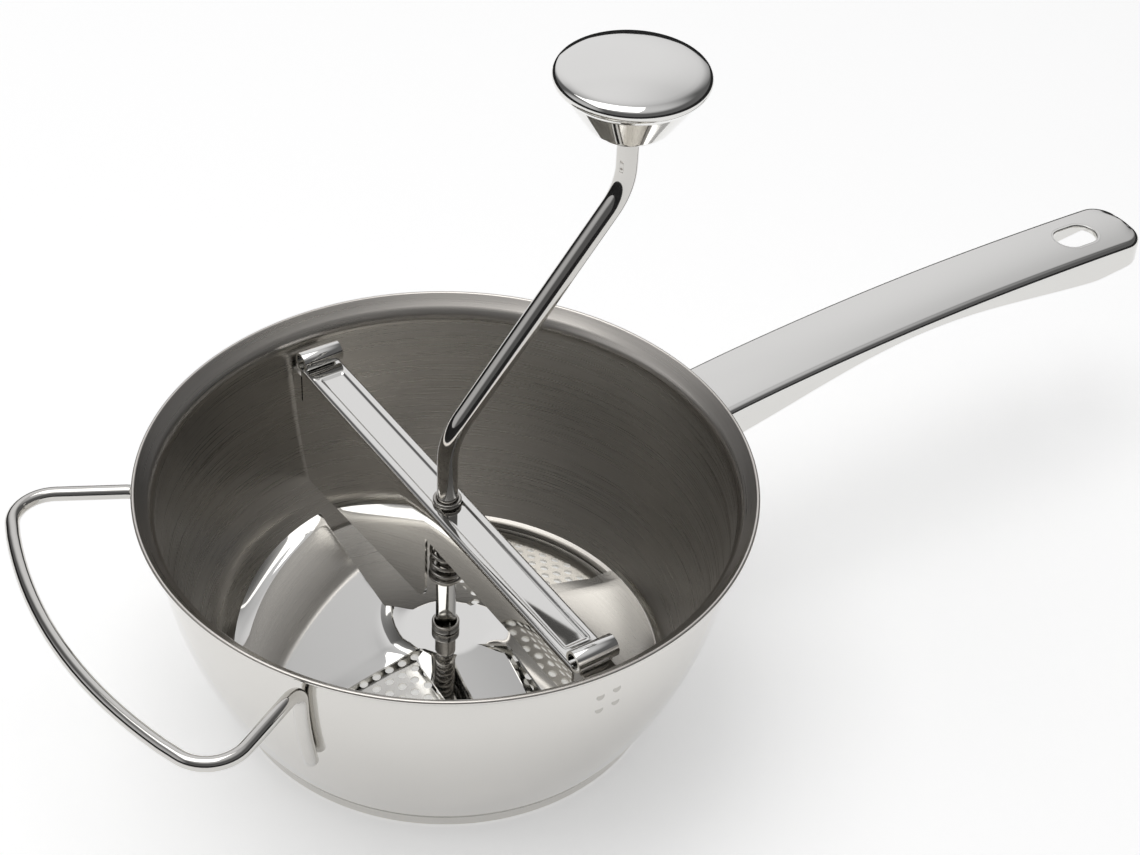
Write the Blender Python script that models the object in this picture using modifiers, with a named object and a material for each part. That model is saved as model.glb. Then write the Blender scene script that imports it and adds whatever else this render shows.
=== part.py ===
"""Rotary food mill (passe-vite) in stainless steel, modelled as an assembly.

Frame: metres, +Z up, the bowl stands on z = 0 with its axis on Z.  The long handle points along +X,
the wire helper handle along -X, and the bridge bar that carries the crank lies along Y.
"""
import math

import bmesh
import bpy
from mathutils import Matrix, Vector

MM = 0.001
GAP = 0.3 * MM                      # air kept between two touching sheets of neighbouring pieces

# --- bowl -----------------------------------------------------------------------------------------
BOWL_HEIGHT = 88.7 * MM
LIP_RADIUS = 105.0 * MM             # outer edge of the flared pouring lip
LIP_DROP = 6.0 * MM                 # height of the flare
LIP_EDGE = 0.5 * MM                 # rounding of the lip's edge
WALL_RADIUS = 98.5 * MM             # outside of the straight part of the wall, just under the lip
WALL_TAPER = 21.7 * MM              # how much the wall curves in on its way down to the foot
WALL_TAPER_POWER = 2.05
FOOT_HEIGHT = 5.3 * MM
FOOT_INSET = 1.4 * MM               # step between the curved wall and the straight foot band
FOOT_STEP = 0.8 * MM                # height of that step
SHEET = 0.8 * MM                    # bowl and sieve steel
LEDGE_WIDTH = 5.2 * MM              # inward ledge that carries the sieve disc
BOWL_STEPS = 48

# --- sieve disc -----------------------------------------------------------------------------------
SIEVE_EDGE_GAP = 0.3 * MM           # between the disc's rim and the wall around it
SIEVE_RIM_WIDTH = 2.4 * MM          # flat unperforated rim
SIEVE_RISE = 14.4 * MM              # how far the domed middle stands above the rim
SIEVE_HOLE = 3.0 * MM
SIEVE_PITCH = 5.1 * MM
SIEVE_SPACING = 3                   # only every third hole of the pattern is cut in this solid
SIEVE_MARGIN = 6.0 * MM             # plain ring inside the rim
SIEVE_HUB = 9.0 * MM                # plain area round the pilot hole
SIEVE_PILOT = 3.8 * MM              # radius of the pilot hole
SIEVE_STEPS = 40

# --- blade ----------------------------------------------------------------------------------------
BLADE_WALL_GAP = 0.8 * MM           # between the blade's rim and the foot's radius
BLADE_SHEET = 1.0 * MM
BLADE_CLEARANCE = 1.7 * MM          # air under the boss and under each trailing edge
BOSS_RADIUS = 14.0 * MM
LEAD_OFFSET = 17.0 * MM             # the leading edge runs this far in front of the diameter
RIDGE_NEAR = 14.5 * MM              # raised edge of the wing, distance behind the diameter at the boss
RIDGE_FAR = 9.0 * MM                # and at the rim
TRAIL_OFFSET = 4.5 * MM             # the trailing edge runs this far past the other diameter
TRAIL_BAND = 6.5 * MM               # flat band along the trailing edge
WING_FALL = 15.7 * MM               # fall of the wing away from its raised edge, over the blade's radius
WING_TWIST_FALL = 1.9 * MM          # slight fall of the wing towards the wall, over the same radius
WING_LIFT = 4.4 * MM                # height of the wing's plane over the boss, taken on the axis
TONGUE_FALL = 10.7 * MM             # fall of the lower leading tongue from the boss to the rim
TURN_UP = 3.4 * MM                  # outer border of the wing, turned up along the wall
TURN_UP_WIDTH = 6.0 * MM
TURN_UP_START = 93.0                # degrees round the wing, from the leading diameter
TURN_UP_END = 153.0
WING_MERGE = 12.0 * MM              # width over which a wing rises out of the boss
BOSS_HOLE = 2.8 * MM
PILOT_SHANK = 2.3 * MM
PILOT_HEAD = 4.6 * MM
PILOT_HEAD_HEIGHT = 0.9 * MM
PILOT_REACH = 7.0 * MM              # straight shank below the blade
PILOT_TIP = 1.0 * MM                # tapered tip beyond that

# --- crank, spring and bridge ---------------------------------------------------------------------
ROD_RADIUS = 3.6 * MM
RING_WALL = 1.0 * MM                # wall of the collar, the clip and the stop ring on the shaft
COLLAR_HEIGHT = 3.2 * MM
CLIP_HEIGHT = 1.6 * MM
STOP_HEIGHT = 1.4 * MM
CRANK_REACH = 66.0 * MM
CRANK_KNEE = 16.1 * MM              # lower bend above the rim
CRANK_RISE = 78.3 * MM              # from the lower bend to the upper bend
BEND_RADIUS = 24.0 * MM
BRIDGE_DROP = 10.9 * MM             # bridge top below the rim
BRIDGE_WIDTH = 15.5 * MM
BRIDGE_SHEET = 1.0 * MM
BRIDGE_END_GAP = 5.8 * MM           # between the rolled ends and the wall
BRIDGE_FLANGE = 14.3 * MM
ROLL_RADIUS = 3.8 * MM
END_TAB = 2.2 * MM                  # side wall left beside the rolled end, under the bridge's top
STEP_IN = 0.06 * MM                 # the side walls and rolls sit this far inside the strip's faces
BAFFLE_INNER = 1.5 * MM             # inner edge of the deep baffle, distance from the axis along Y
BAFFLE_OVER_BOSS = 14.9 * MM        # lower edge of the baffle above the blade's boss, at its inner end
BAFFLE_OVER_BOSS_OUTER = 9.1 * MM   # and at the wall
BAFFLE_WALL_GAP = 2.5 * MM
BAFFLE_CORNER = 6.0 * MM
SPRING_RADIUS = 5.3 * MM            # mean radius of the coils
SPRING_WIRE = 0.6 * MM
SPRING_TURNS = 7
SPRING_LENGTH = 29.4 * MM
WASHER = 1.0 * MM
WASHER_RADIUS = 6.2 * MM
BRACKET_WIDTH = 11.5 * MM
BRACKET_HEIGHT = 12.0 * MM
BRACKET_SHELF = 6.5 * MM

# --- knob -----------------------------------------------------------------------------------------
KNOB_RADIUS = 25.4 * MM
KNOB_HEIGHT = 25.7 * MM
KNOB_STEM = 17.2 * MM               # rod showing between the upper bend and the knob
KNOB_NECK_RADIUS = 14.2 * MM
KNOB_CUP_DEPTH = 4.0 * MM           # the cup shows this far below the cap
KNOB_PIN_DEPTH = 7.5 * MM           # the rod ends this far below the knob's top
RIVET_RADIUS = 5.4 * MM
RIVET_HEIGHT = 1.6 * MM
SLEEVE_WALL = 1.4 * MM
KNOB_SHEET = 0.8 * MM

# --- handles --------------------------------------------------------------------------------------
HANDLE_END = 310.0 * MM             # tip of the long handle, from the bowl's axis
HANDLE_WIDTH = 28.5 * MM
HANDLE_CORNER = 10.0 * MM           # plan radius of the two corners at the tip
HANDLE_EDGE = 2.6 * MM              # rounded edge between top and sides
HANDLE_SHEET = 1.2 * MM
HANDLE_CROWN = 0.5 * MM             # the top is very slightly arched across
HANDLE_ROOT_DROP = 8.3 * MM         # top of the handle below the rim, at the wall
HANDLE_ARCH = 7.4 * MM              # how far it then rises
HANDLE_DIP = 2.5 * MM               # how far it bends down again towards the tip
HANDLE_DIP_START = 0.55             # share of the length where that begins
HANDLE_ARCH_END = 0.82              # sets how soon the rise is over: at 0.61 of the length
HANDLE_ROOT_DEPTH = 13.6 * MM       # depth of the sides at the wall
HANDLE_WAIST = 12.2 * MM            # how much shallower they get along the waist
HANDLE_TIP_TAPER = 4.5 * MM         # and how much more at the very tip
HANDLE_TIP_SHARE = 0.12             # over this last part of the length
SLOT_FROM_END = 26.5 * MM
SLOT_LENGTH = 18.7 * MM
SLOT_WIDTH = 12.8 * MM
WIRE_RADIUS = 2.5 * MM
WIRE_DROP = 8.2 * MM                # helper handle's centre line below the rim
WIRE_REACH = 141.2 * MM
WIRE_HALF_WIDTH = 74.7 * MM
WIRE_SHOULDER = 125.4 * MM
WIRE_BOW = 175.0 * MM               # radius of the gently bowed grip
WIRE_FOOT_ANGLE = math.radians(148.0)
WIRE_LEG = 38.5 * MM
WIRE_CORNER = 14.0 * MM
WIRE_FOOT_BEND = 6.5 * MM
WIRE_KNEE_BEND = 30.0 * MM          # the leg curves gently with the wall

parts = None
cutters = None


# --- tools ----------------------------------------------------------------------------------------
def clear_scene():
    """Empty the file and make one collection for the parts and one for the cutters."""
    global parts, cutters
    for old in list(bpy.data.objects):
        bpy.data.objects.remove(old, do_unlink=True)
    parts = bpy.data.collections.new("food_mill")
    cutters = bpy.data.collections.new("cutters")
    for group in (parts, cutters):
        bpy.context.scene.collection.children.link(group)


def steel(name, colour, roughness):
    """A stainless steel finish."""
    mat = bpy.data.materials.new(name)
    mat.use_nodes = True
    shader = mat.node_tree.nodes["Principled BSDF"]
    shader.inputs["Base Color"].default_value = (*colour, 1.0)
    shader.inputs["Metallic"].default_value = 1.0
    shader.inputs["Roughness"].default_value = roughness
    mat.diffuse_color = (*colour, 1.0)
    return mat


def add_part(name, data, mat):
    """Link a mesh or curve to the parts collection under its node name."""
    data.materials.clear()
    data.materials.append(mat)
    obj = bpy.data.objects.new(name, data)
    parts.objects.link(obj)
    return obj


def hide_cutter(obj):
    """Move an object that only cuts into the cutters collection."""
    for group in list(obj.users_collection):
        group.objects.unlink(obj)
    cutters.objects.link(obj)
    obj.hide_render = True
    obj.display_type = "WIRE"
    return obj


def turned(name, profile, mat, steps, origin=(0, 0, 0), closed=True):
    """Solid of revolution: (radius, height) points down the outside, then back up the inside."""
    mesh = bpy.data.meshes.new(name)
    verts = [(r, 0.0, z - origin[2]) for r, z in profile]
    edges = [(i, i + 1) for i in range(len(verts) - 1)]
    if closed:
        edges.append((len(verts) - 1, 0))
    mesh.from_pydata(verts, edges, [])
    obj = add_part(name, mesh, mat)
    obj.location = origin
    screw = obj.modifiers.new("turn", "SCREW")
    screw.steps = steps
    screw.render_steps = steps
    screw.use_merge_vertices = True
    screw.merge_threshold = 1e-5
    screw.use_smooth_shade = False
    return obj


def ring(name, inner, outer, bottom, top, mat, steps=20, origin=(0, 0, 0)):
    """Plain collar or washer with a small chamfer outside."""
    edge = 0.25 * min(outer - inner, top - bottom)
    profile = [(inner, top), (outer - edge, top), (outer, top - edge), (outer, bottom + edge),
               (outer - edge, bottom), (inner, bottom)]
    return turned(name, profile, mat, steps, origin)


def freeze(obj, name, mat):
    """Turn a curve or a modified object into a plain mesh object in its place."""
    graph = bpy.context.evaluated_depsgraph_get()
    mesh = bpy.data.meshes.new_from_object(obj.evaluated_get(graph))
    work = bmesh.new()
    work.from_mesh(mesh)
    bmesh.ops.remove_doubles(work, verts=work.verts, dist=1e-6)
    bmesh.ops.recalc_face_normals(work, faces=work.faces)
    work.to_mesh(mesh)
    work.free()
    matrix = obj.matrix_world.copy()
    bpy.data.objects.remove(obj, do_unlink=True)
    solid = add_part(name, mesh, mat)
    solid.matrix_world = matrix
    return solid


def plate(name, outline, thickness, mat, matrix):
    """Flat plate: an outline in its own XY plane, given its thickness both ways, then placed."""
    curve = bpy.data.curves.new(name, "CURVE")
    curve.dimensions = "2D"
    curve.fill_mode = "BOTH"
    curve.extrude = thickness / 2
    spline = curve.splines.new("POLY")
    spline.points.add(len(outline) - 1)
    for point, (x, y) in zip(spline.points, outline):
        point.co = (x, y, 0.0, 1.0)
    spline.use_cyclic_u = True
    obj = add_part(name, curve, mat)
    obj.matrix_world = matrix
    bpy.context.view_layer.update()
    return freeze(obj, name, mat)


def box(name, size, centre, mat):
    """Rectangular block from a cube primitive."""
    mesh = bpy.data.meshes.new(name)
    work = bmesh.new()
    bmesh.ops.create_cube(work, size=1.0, matrix=Matrix.Diagonal((*size, 1.0)))
    work.to_mesh(mesh)
    work.free()
    obj = add_part(name, mesh, mat)
    obj.location = centre
    return obj


def rod(name, points, radius, mat, sides=4, origin=(0, 0, 0)):
    """Round bar along a path, with filled ends."""
    curve = bpy.data.curves.new(name, "CURVE")
    curve.dimensions = "3D"
    curve.bevel_depth = radius
    curve.bevel_resolution = sides
    curve.use_fill_caps = True
    spline = curve.splines.new("POLY")
    spline.points.add(len(points) - 1)
    for point, place in zip(spline.points, points):
        point.co = (*(Vector(place) - Vector(origin)), 1.0)
    obj = add_part(name, curve, mat)
    obj.location = origin
    bpy.context.view_layer.update()
    return freeze(obj, name, mat)


def rounded_path(corners, radii, steps=5):
    """Polyline through the corners with each inner corner replaced by an arc."""
    path = [Vector(corners[0])]
    for before, corner, after, radius in zip(corners, corners[1:], corners[2:], radii):
        corner = Vector(corner)
        back = (Vector(before) - corner).normalized()
        ahead = (Vector(after) - corner).normalized()
        half = back.angle(ahead) / 2
        reach = radius / math.tan(half)
        centre = corner + (back + ahead).normalized() * (radius / math.sin(half))
        start = (corner + back * reach - centre).normalized()
        end = (corner + ahead * reach - centre).normalized()
        path += [centre + radius * start.slerp(end, k / steps) for k in range(steps + 1)]
    path.append(Vector(corners[-1]))
    return path


def combine(target, tool, operation):
    """Join or cut two meshes exactly; the tool goes to the cutters."""
    modifier = target.modifiers.new(operation.lower(), "BOOLEAN")
    modifier.operation = operation
    modifier.solver = "EXACT"
    modifier.object = tool
    hide_cutter(tool)


# --- shared shapes --------------------------------------------------------------------------------
def wall_radius(height):
    """Outside radius of the bowl's wall at a height above the table."""
    below = max(BOWL_HEIGHT - LIP_DROP - height, 0.0)
    span = BOWL_HEIGHT - LIP_DROP - FOOT_HEIGHT
    return WALL_RADIUS - WALL_TAPER * (below / span) ** WALL_TAPER_POWER


def foot_radius():
    return WALL_RADIUS - WALL_TAPER - FOOT_INSET


def sieve_edge():
    """Outer radius of the sieve disc, set by the foot it drops into."""
    return foot_radius() - SHEET - SIEVE_EDGE_GAP


def sieve_seat():
    """Height of the underside of the disc's rim: it lies on the ledge."""
    return SHEET + GAP


def dome(radius):
    """Top face of the sieve disc."""
    edge = sieve_edge() - SIEVE_RIM_WIDTH
    sphere = (edge ** 2 + SIEVE_RISE ** 2) / (2 * SIEVE_RISE)
    base = sieve_seat() + SHEET
    if radius >= edge:
        return base
    return base + SIEVE_RISE - sphere + math.sqrt(sphere ** 2 - radius ** 2)


def blade_radius():
    return foot_radius() - BLADE_WALL_GAP


def boss_top():
    return dome(0.0) + BLADE_CLEARANCE + BLADE_SHEET


def bridge_top():
    return BOWL_HEIGHT - BRIDGE_DROP


def bridge_half_length():
    return wall_radius(bridge_top()) - SHEET - BRIDGE_END_GAP


def knob_base():
    return BOWL_HEIGHT + CRANK_KNEE + CRANK_RISE + KNOB_STEM + KNOB_CUP_DEPTH


def knob_pin_top():
    return knob_base() + KNOB_HEIGHT - KNOB_PIN_DEPTH


# --- bowl group -----------------------------------------------------------------------------------
def make_bowl(mat):
    """Deep bowl: flared lip, wall that curves in, short foot band and the ledge for the sieve."""
    neck = BOWL_HEIGHT - LIP_DROP
    heights = [neck - (neck - FOOT_HEIGHT) * k / 8 for k in range(9)]
    lip = [(LIP_RADIUS - LIP_EDGE, BOWL_HEIGHT), (LIP_RADIUS, BOWL_HEIGHT - LIP_EDGE),
           (LIP_RADIUS - LIP_EDGE, BOWL_HEIGHT - LIP_EDGE - SHEET),
           (WALL_RADIUS + 2 * SHEET, neck + 0.3 * LIP_DROP)]
    outside = lip + [(wall_radius(z), z) for z in heights]
    foot = foot_radius()
    base = [(foot, FOOT_HEIGHT - FOOT_STEP), (foot, 0.0)]
    ledge = [(foot - LEDGE_WIDTH, 0.0), (foot - LEDGE_WIDTH, SHEET), (foot - SHEET, SHEET),
             (foot - SHEET, FOOT_HEIGHT)]
    inside = [(wall_radius(z) - SHEET, z + GAP) for z in reversed(heights)]
    flare = [(WALL_RADIUS + SHEET, neck + 0.44 * LIP_DROP),
             (LIP_RADIUS - LIP_EDGE - 2 * SHEET, BOWL_HEIGHT - LIP_EDGE)]
    return turned("bowl", outside + base + ledge + inside + flare, mat, BOWL_STEPS)


def make_bracket(name, side, mat):
    """Angle welded inside the wall; its shelf reaches under the end of the bridge."""
    half = BRACKET_WIDTH / 2
    top = bridge_top() - BRIDGE_SHEET - GAP
    tightest = wall_radius(top - BRACKET_HEIGHT) - SHEET
    face = math.sqrt(tightest ** 2 - half ** 2) - GAP
    outline = [(face, top), (face, top - BRACKET_HEIGHT), (face - BRIDGE_SHEET, top - BRACKET_HEIGHT),
               (face - BRIDGE_SHEET, top - BRIDGE_SHEET), (face - BRACKET_SHELF, top - BRIDGE_SHEET),
               (face - BRACKET_SHELF, top)]
    turn = Matrix.Rotation(math.radians(90 * side), 4, "Z") @ Matrix.Rotation(math.radians(90), 4, "X")
    return plate(name, outline, BRACKET_WIDTH, mat, turn)


def handle_share(reach):
    """How far along the handle a point is: 0 at the wall, 1 at the tip."""
    return (reach - WALL_RADIUS) / (HANDLE_END - WALL_RADIUS)


def handle_height(reach):
    """Top of the long handle: it leaves the wall under the lip, arches up and dips towards the tip."""
    rise = min(handle_share(reach) * HANDLE_ARCH_END, 0.5) ** 0.8 / 0.5 ** 0.8
    dip = max(handle_share(reach) - HANDLE_DIP_START, 0.0) / (1.0 - HANDLE_DIP_START)
    crest = BOWL_HEIGHT - HANDLE_ROOT_DROP + HANDLE_ARCH * math.sin(0.5 * math.pi * rise)
    return crest - HANDLE_DIP * dip ** 2


def handle_depth(reach):
    """Depth of the sides: full at the wall, shallow along the waist, fuller again, tapered at the tip."""
    share = handle_share(reach)
    waist = math.sin(math.pi * share) ** 2 * (1.0 - 0.55 * share)
    taper = max(share - 1.0 + HANDLE_TIP_SHARE, 0.0) / HANDLE_TIP_SHARE
    return HANDLE_ROOT_DEPTH - HANDLE_WAIST * waist - HANDLE_TIP_TAPER * taper


def make_long_handle(mat):
    """Pressed channel handle, open underneath, with a hanging slot near its rounded end."""
    half = HANDLE_WIDTH / 2
    root = WALL_RADIUS + GAP
    straight = HANDLE_END - HANDLE_CORNER
    stations = [root + (straight - root) * k / 9 for k in range(10)]
    stations += [straight + HANDLE_CORNER * math.sin(math.radians(a)) for a in (30, 55, 75, 90)]
    rows = []
    for index, reach in enumerate(stations):
        beyond = max(reach - straight, 0.0)
        inset = HANDLE_CORNER - math.sqrt(max(HANDLE_CORNER ** 2 - beyond ** 2, 0.0))
        width = half - inset
        top = handle_height(reach) - HANDLE_EDGE * 0.35 * (inset / HANDLE_CORNER)
        section = []
        for a in (0, 30, 60, 90):
            angle = math.radians(a)
            section.append((width - HANDLE_EDGE * (1 - math.cos(angle)),
                            top - HANDLE_EDGE * (1 - math.sin(angle))))
        side = [(width, top - handle_depth(reach))] + section + [(0.0, top + HANDLE_CROWN)]
        row = [(y, z) for y, z in side] + [(-y, z) for y, z in reversed(side[:-1])]
        if index == 0:
            rows.append([(math.sqrt(root ** 2 - y ** 2), y, z) for y, z in row])
        else:
            rows.append([(reach, y, z) for y, z in row])
    count = len(rows[0])
    verts = [v for row in rows for v in row]
    faces = [(i * count + j, i * count + j + 1, (i + 1) * count + j + 1, (i + 1) * count + j)
             for i in range(len(rows) - 1) for j in range(count - 1)]
    last = (len(rows) - 1) * count
    faces.append(tuple(last + j for j in range(count)))
    mesh = bpy.data.meshes.new("long_handle")
    mesh.from_pydata(verts, [], faces)
    obj = add_part("long_handle", mesh, mat)
    shell = obj.modifiers.new("sheet", "SOLIDIFY")
    shell.thickness = HANDLE_SHEET
    shell.offset = -1.0
    shell.use_even_offset = True
    radius = SLOT_WIDTH / 2
    flat = SLOT_LENGTH / 2 - radius
    oval = [(flat + radius * math.sin(a), radius * math.cos(a)) for a in arc_angles(0, 180, 6)]
    oval += [(-flat - radius * math.sin(a), -radius * math.cos(a)) for a in arc_angles(0, 180, 6)]
    place = Matrix.Translation((HANDLE_END - SLOT_FROM_END, 0.0, BOWL_HEIGHT))
    combine(obj, plate("slot_cutter", oval, 30.0 * MM, mat, place), "DIFFERENCE")
    return obj


def arc_angles(start, end, steps):
    """Evenly spaced angles in radians between two angles given in degrees."""
    return [math.radians(start + (end - start) * k / steps) for k in range(steps + 1)]


def make_helper_handle(mat):
    """Bent wire handle: a bowed grip, two rounded shoulders and two legs welded down the wall."""
    level = BOWL_HEIGHT - WIRE_DROP

    def on_wall(height):
        reach = wall_radius(height) + GAP + WIRE_RADIUS + 0.15 * MM
        return Vector((reach * math.cos(WIRE_FOOT_ANGLE), reach * math.sin(WIRE_FOOT_ANGLE), height))

    foot = on_wall(level - WIRE_LEG)
    shin = on_wall(level - 0.67 * WIRE_LEG)
    knee = on_wall(level - 0.33 * WIRE_LEG)
    hip = on_wall(level)
    shoulder = Vector((-WIRE_SHOULDER, WIRE_HALF_WIDTH, level))
    grip = [Vector((-WIRE_REACH + y * y / (2 * WIRE_BOW), y, level))
            for y in (54.0 * MM, 36.0 * MM, 18.0 * MM, 0.0)]
    bends = [WIRE_KNEE_BEND, WIRE_KNEE_BEND, WIRE_FOOT_BEND, WIRE_CORNER]
    half = rounded_path([foot, shin, knee, hip, shoulder, grip[0]], bends, 4)[:-1] + grip
    mirrored = [Vector((p.x, -p.y, p.z)) for p in reversed(half[:-1])]
    return rod("helper_handle", half + mirrored, WIRE_RADIUS, mat, sides=3)


# --- sieve ----------------------------------------------------------------------------------------
def make_sieve(mat):
    """Domed sieve disc with a flat rim, a pilot hole and part of its staggered perforation."""
    edge = sieve_edge()
    hub = SIEVE_PILOT
    inner = edge - SIEVE_RIM_WIDTH
    radii = [hub + (inner - hub) * k / 7 for k in range(8)]
    upper = [(r, dome(r)) for r in radii] + [(edge, dome(edge))]
    lower = [(r, z - SHEET) for r, z in reversed(upper)]
    disc = turned("sieve_disc", upper + lower, mat, SIEVE_STEPS)
    bpy.context.view_layer.update()
    disc = freeze(disc, "sieve_disc", mat)
    drill = bmesh.new()
    pitch = SIEVE_PITCH * SIEVE_SPACING
    rows = int(edge / (pitch * math.sqrt(0.75))) + 1
    for row in range(-rows, rows + 1):
        for column in range(-rows - 1, rows + 2):
            x = pitch * (column + 0.5 * (row % 2))
            y = pitch * row * math.sqrt(0.75)
            distance = math.hypot(x, y)
            if SIEVE_HUB < distance < inner - SIEVE_MARGIN:
                at = Matrix.Translation((x, y, dome(distance)))
                bmesh.ops.create_cone(drill, cap_ends=True, segments=8, radius1=SIEVE_HOLE / 2,
                                      radius2=SIEVE_HOLE / 2, depth=8 * MM, matrix=at)
    mesh = bpy.data.meshes.new("sieve_drill")
    drill.to_mesh(mesh)
    drill.free()
    combine(disc, add_part("sieve_drill", mesh, mat), "DIFFERENCE")
    return disc


# --- rotor ----------------------------------------------------------------------------------------
def wing_height(x, y):
    """Top of the raised wing over a point behind its raised edge (x < 0, y > 0)."""
    plane = boss_top() + WING_LIFT + (WING_FALL * x - WING_TWIST_FALL * y) / blade_radius()
    radius = math.hypot(x, y)
    angle = math.degrees(math.atan2(y, x))
    along = min(max((angle - TURN_UP_START) / (TURN_UP_END - TURN_UP_START), 0.0), 1.0)
    rise = math.sin(math.pi * along)
    border = min(max((radius - blade_radius() + TURN_UP_WIDTH) / TURN_UP_WIDTH, 0.0), 1.0)
    plane += TURN_UP * rise * border
    band = min(max((TRAIL_BAND - TRAIL_OFFSET - y) / TRAIL_BAND, 0.0), 1.0)
    low = max(dome(radius) + BLADE_CLEARANCE, FOOT_HEIGHT + SHEET) + BLADE_SHEET
    plane += (low - plane) * band
    merge = min(max((radius - BOSS_RADIUS) / WING_MERGE, 0.0), 1.0)
    return boss_top() + (plane - boss_top()) * merge


def make_blade(mat):
    """Two-winged pressing blade: each wing starts at a raised edge behind a lower tongue."""
    span = blade_radius() - BOSS_RADIUS
    radii = [BOSS_RADIUS + span * k / 7 for k in range(8)]
    wing_columns, tongue_columns = 8, 3
    verts, faces = [], []

    def ridge_angle(radius):
        share = (radius - BOSS_RADIUS) / span
        offset = RIDGE_NEAR + (RIDGE_FAR - RIDGE_NEAR) * share
        return math.pi / 2 + math.asin(min(offset / radius, 1.0) * min(0.35 + share * 4, 1.0))

    def lead_angle(radius):
        return math.acos(min(LEAD_OFFSET / radius, 0.90))

    def trail_angle(radius):
        return math.pi + math.asin(TRAIL_OFFSET / radius)

    for turn in (0.0, math.pi):
        tongue, wing = [], []
        for radius in radii:
            lead, ridge, trail = lead_angle(radius), ridge_angle(radius), trail_angle(radius)
            low = boss_top() - TONGUE_FALL * (radius - BOSS_RADIUS) / span
            row = []
            for k in range(tongue_columns + 1):
                a = lead + (ridge - lead) * k / tongue_columns
                row.append((radius * math.cos(a + turn), radius * math.sin(a + turn), low))
            tongue.append(row)
            row = []
            for k in range(wing_columns + 1):
                a = ridge + (trail - ridge) * k / wing_columns
                z = wing_height(radius * math.cos(a), radius * math.sin(a))
                row.append((radius * math.cos(a + turn), radius * math.sin(a + turn), z))
            wing.append(row)
        for grid in (tongue, wing):
            start = len(verts)
            width = len(grid[0])
            verts += [v for row in grid for v in row]
            for i in range(len(grid) - 1):
                for j in range(width - 1):
                    a = start + i * width + j
                    faces.append((a, a + width, a + width + 1, a + 1))
        start = len(verts)
        inner = tongue[0][:-1] + wing[0]
        verts += inner
        shrink = BOSS_HOLE / BOSS_RADIUS
        verts += [(v[0] * shrink, v[1] * shrink, boss_top()) for v in inner]
        size = len(inner)
        for j in range(size - 1):
            faces.append((start + j, start + j + 1, start + size + j + 1, start + size + j))
        if turn == 0.0:
            gap_a, gap_b = start + size - 1, start + 2 * size - 1
            lead_a, lead_b = start, start + size
        else:
            faces.append((gap_a, start, start + size, gap_b))
            faces.append((start + size - 1, lead_a, lead_b, start + 2 * size - 1))
    mesh = bpy.data.meshes.new("blade")
    mesh.from_pydata(verts, [], faces)
    work = bmesh.new()
    work.from_mesh(mesh)
    bmesh.ops.remove_doubles(work, verts=work.verts, dist=1e-6)
    work.normal_update()
    bmesh.ops.reverse_faces(work, faces=[face for face in work.faces if face.normal.z < 0])
    work.to_mesh(mesh)
    work.free()
    obj = add_part("blade", mesh, mat)
    sheet = obj.modifiers.new("sheet", "SOLIDIFY")
    sheet.thickness = BLADE_SHEET
    sheet.offset = -1.0
    return obj


def make_pilot(mat):
    """Rivet that holds the blade on the crank and centres the sieve disc on its shank."""
    top = boss_top() - BLADE_SHEET
    head_top = top - GAP
    head_low = head_top - PILOT_HEAD_HEIGHT
    end = top - PILOT_REACH - PILOT_TIP
    profile = [(0.0, boss_top()), (PILOT_SHANK, boss_top()), (PILOT_SHANK, head_top), (PILOT_HEAD, head_top),
               (PILOT_HEAD, head_low), (PILOT_SHANK, head_low), (PILOT_SHANK, top - PILOT_REACH),
               (0.6 * PILOT_SHANK, end), (0.0, end)]
    return turned("pilot_rivet", profile, mat, 16, closed=False)


def make_crank(mat):
    """Round bar: upright through the bridge, a slanting arm, and an upright pin for the knob."""
    knee = BOWL_HEIGHT + CRANK_KNEE
    elbow = knee + CRANK_RISE
    corners = [(0, 0, boss_top() + GAP), (0, 0, knee), (CRANK_REACH, 0, elbow),
               (CRANK_REACH, 0, knob_pin_top())]
    return rod("crank", rounded_path(corners, [BEND_RADIUS, BEND_RADIUS], 6), ROD_RADIUS, mat)


def make_spring(mat):
    """Compression spring between the bridge and the seat on the crank."""
    bottom = spring_bottom() + SPRING_WIRE
    rise = SPRING_LENGTH - 2 * SPRING_WIRE
    per_turn = 10
    total = SPRING_TURNS * per_turn
    points = []
    for k in range(total + 1):
        angle = 2 * math.pi * k / per_turn
        points.append((SPRING_RADIUS * math.cos(angle), SPRING_RADIUS * math.sin(angle),
                       bottom + rise * k / total))
    return rod("spring", points, SPRING_WIRE, mat, sides=1)


def spring_bottom():
    return bridge_top() - BRIDGE_SHEET - GAP - WASHER - GAP - SPRING_LENGTH


# --- bridge ---------------------------------------------------------------------------------------
def flange_outline(deep):
    """Side wall of the bridge in the Y-Z plane, with or without the deep baffle on the +Y half."""
    end = bridge_half_length() - 1.0 * MM
    top = bridge_top() - 2 * STEP_IN
    low = top - BRIDGE_FLANGE
    points = [(-end, top), (-end, low)]
    if deep:
        points.append((BAFFLE_INNER, low))
        inner_low = boss_top() + BAFFLE_OVER_BOSS
        outer_low = boss_top() + BAFFLE_OVER_BOSS_OUTER
        centre = (BAFFLE_INNER + BAFFLE_CORNER, inner_low + BAFFLE_CORNER)
        points += [(centre[0] + BAFFLE_CORNER * math.cos(a), centre[1] + BAFFLE_CORNER * math.sin(a))
                   for a in arc_angles(180, 270, 4)]
        offset = BRIDGE_WIDTH / 2
        for k in range(6):
            height = outer_low + (low + 3 * MM - outer_low) * k / 5
            reach = wall_radius(height) - SHEET - BAFFLE_WALL_GAP
            points.append((math.sqrt(reach ** 2 - offset ** 2), height))
        points.append((math.sqrt(reach ** 2 - offset ** 2), top - END_TAB))
        points.append((end, top - END_TAB))
    else:
        points.append((end, low))
    points.append((end, top))
    return points


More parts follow.
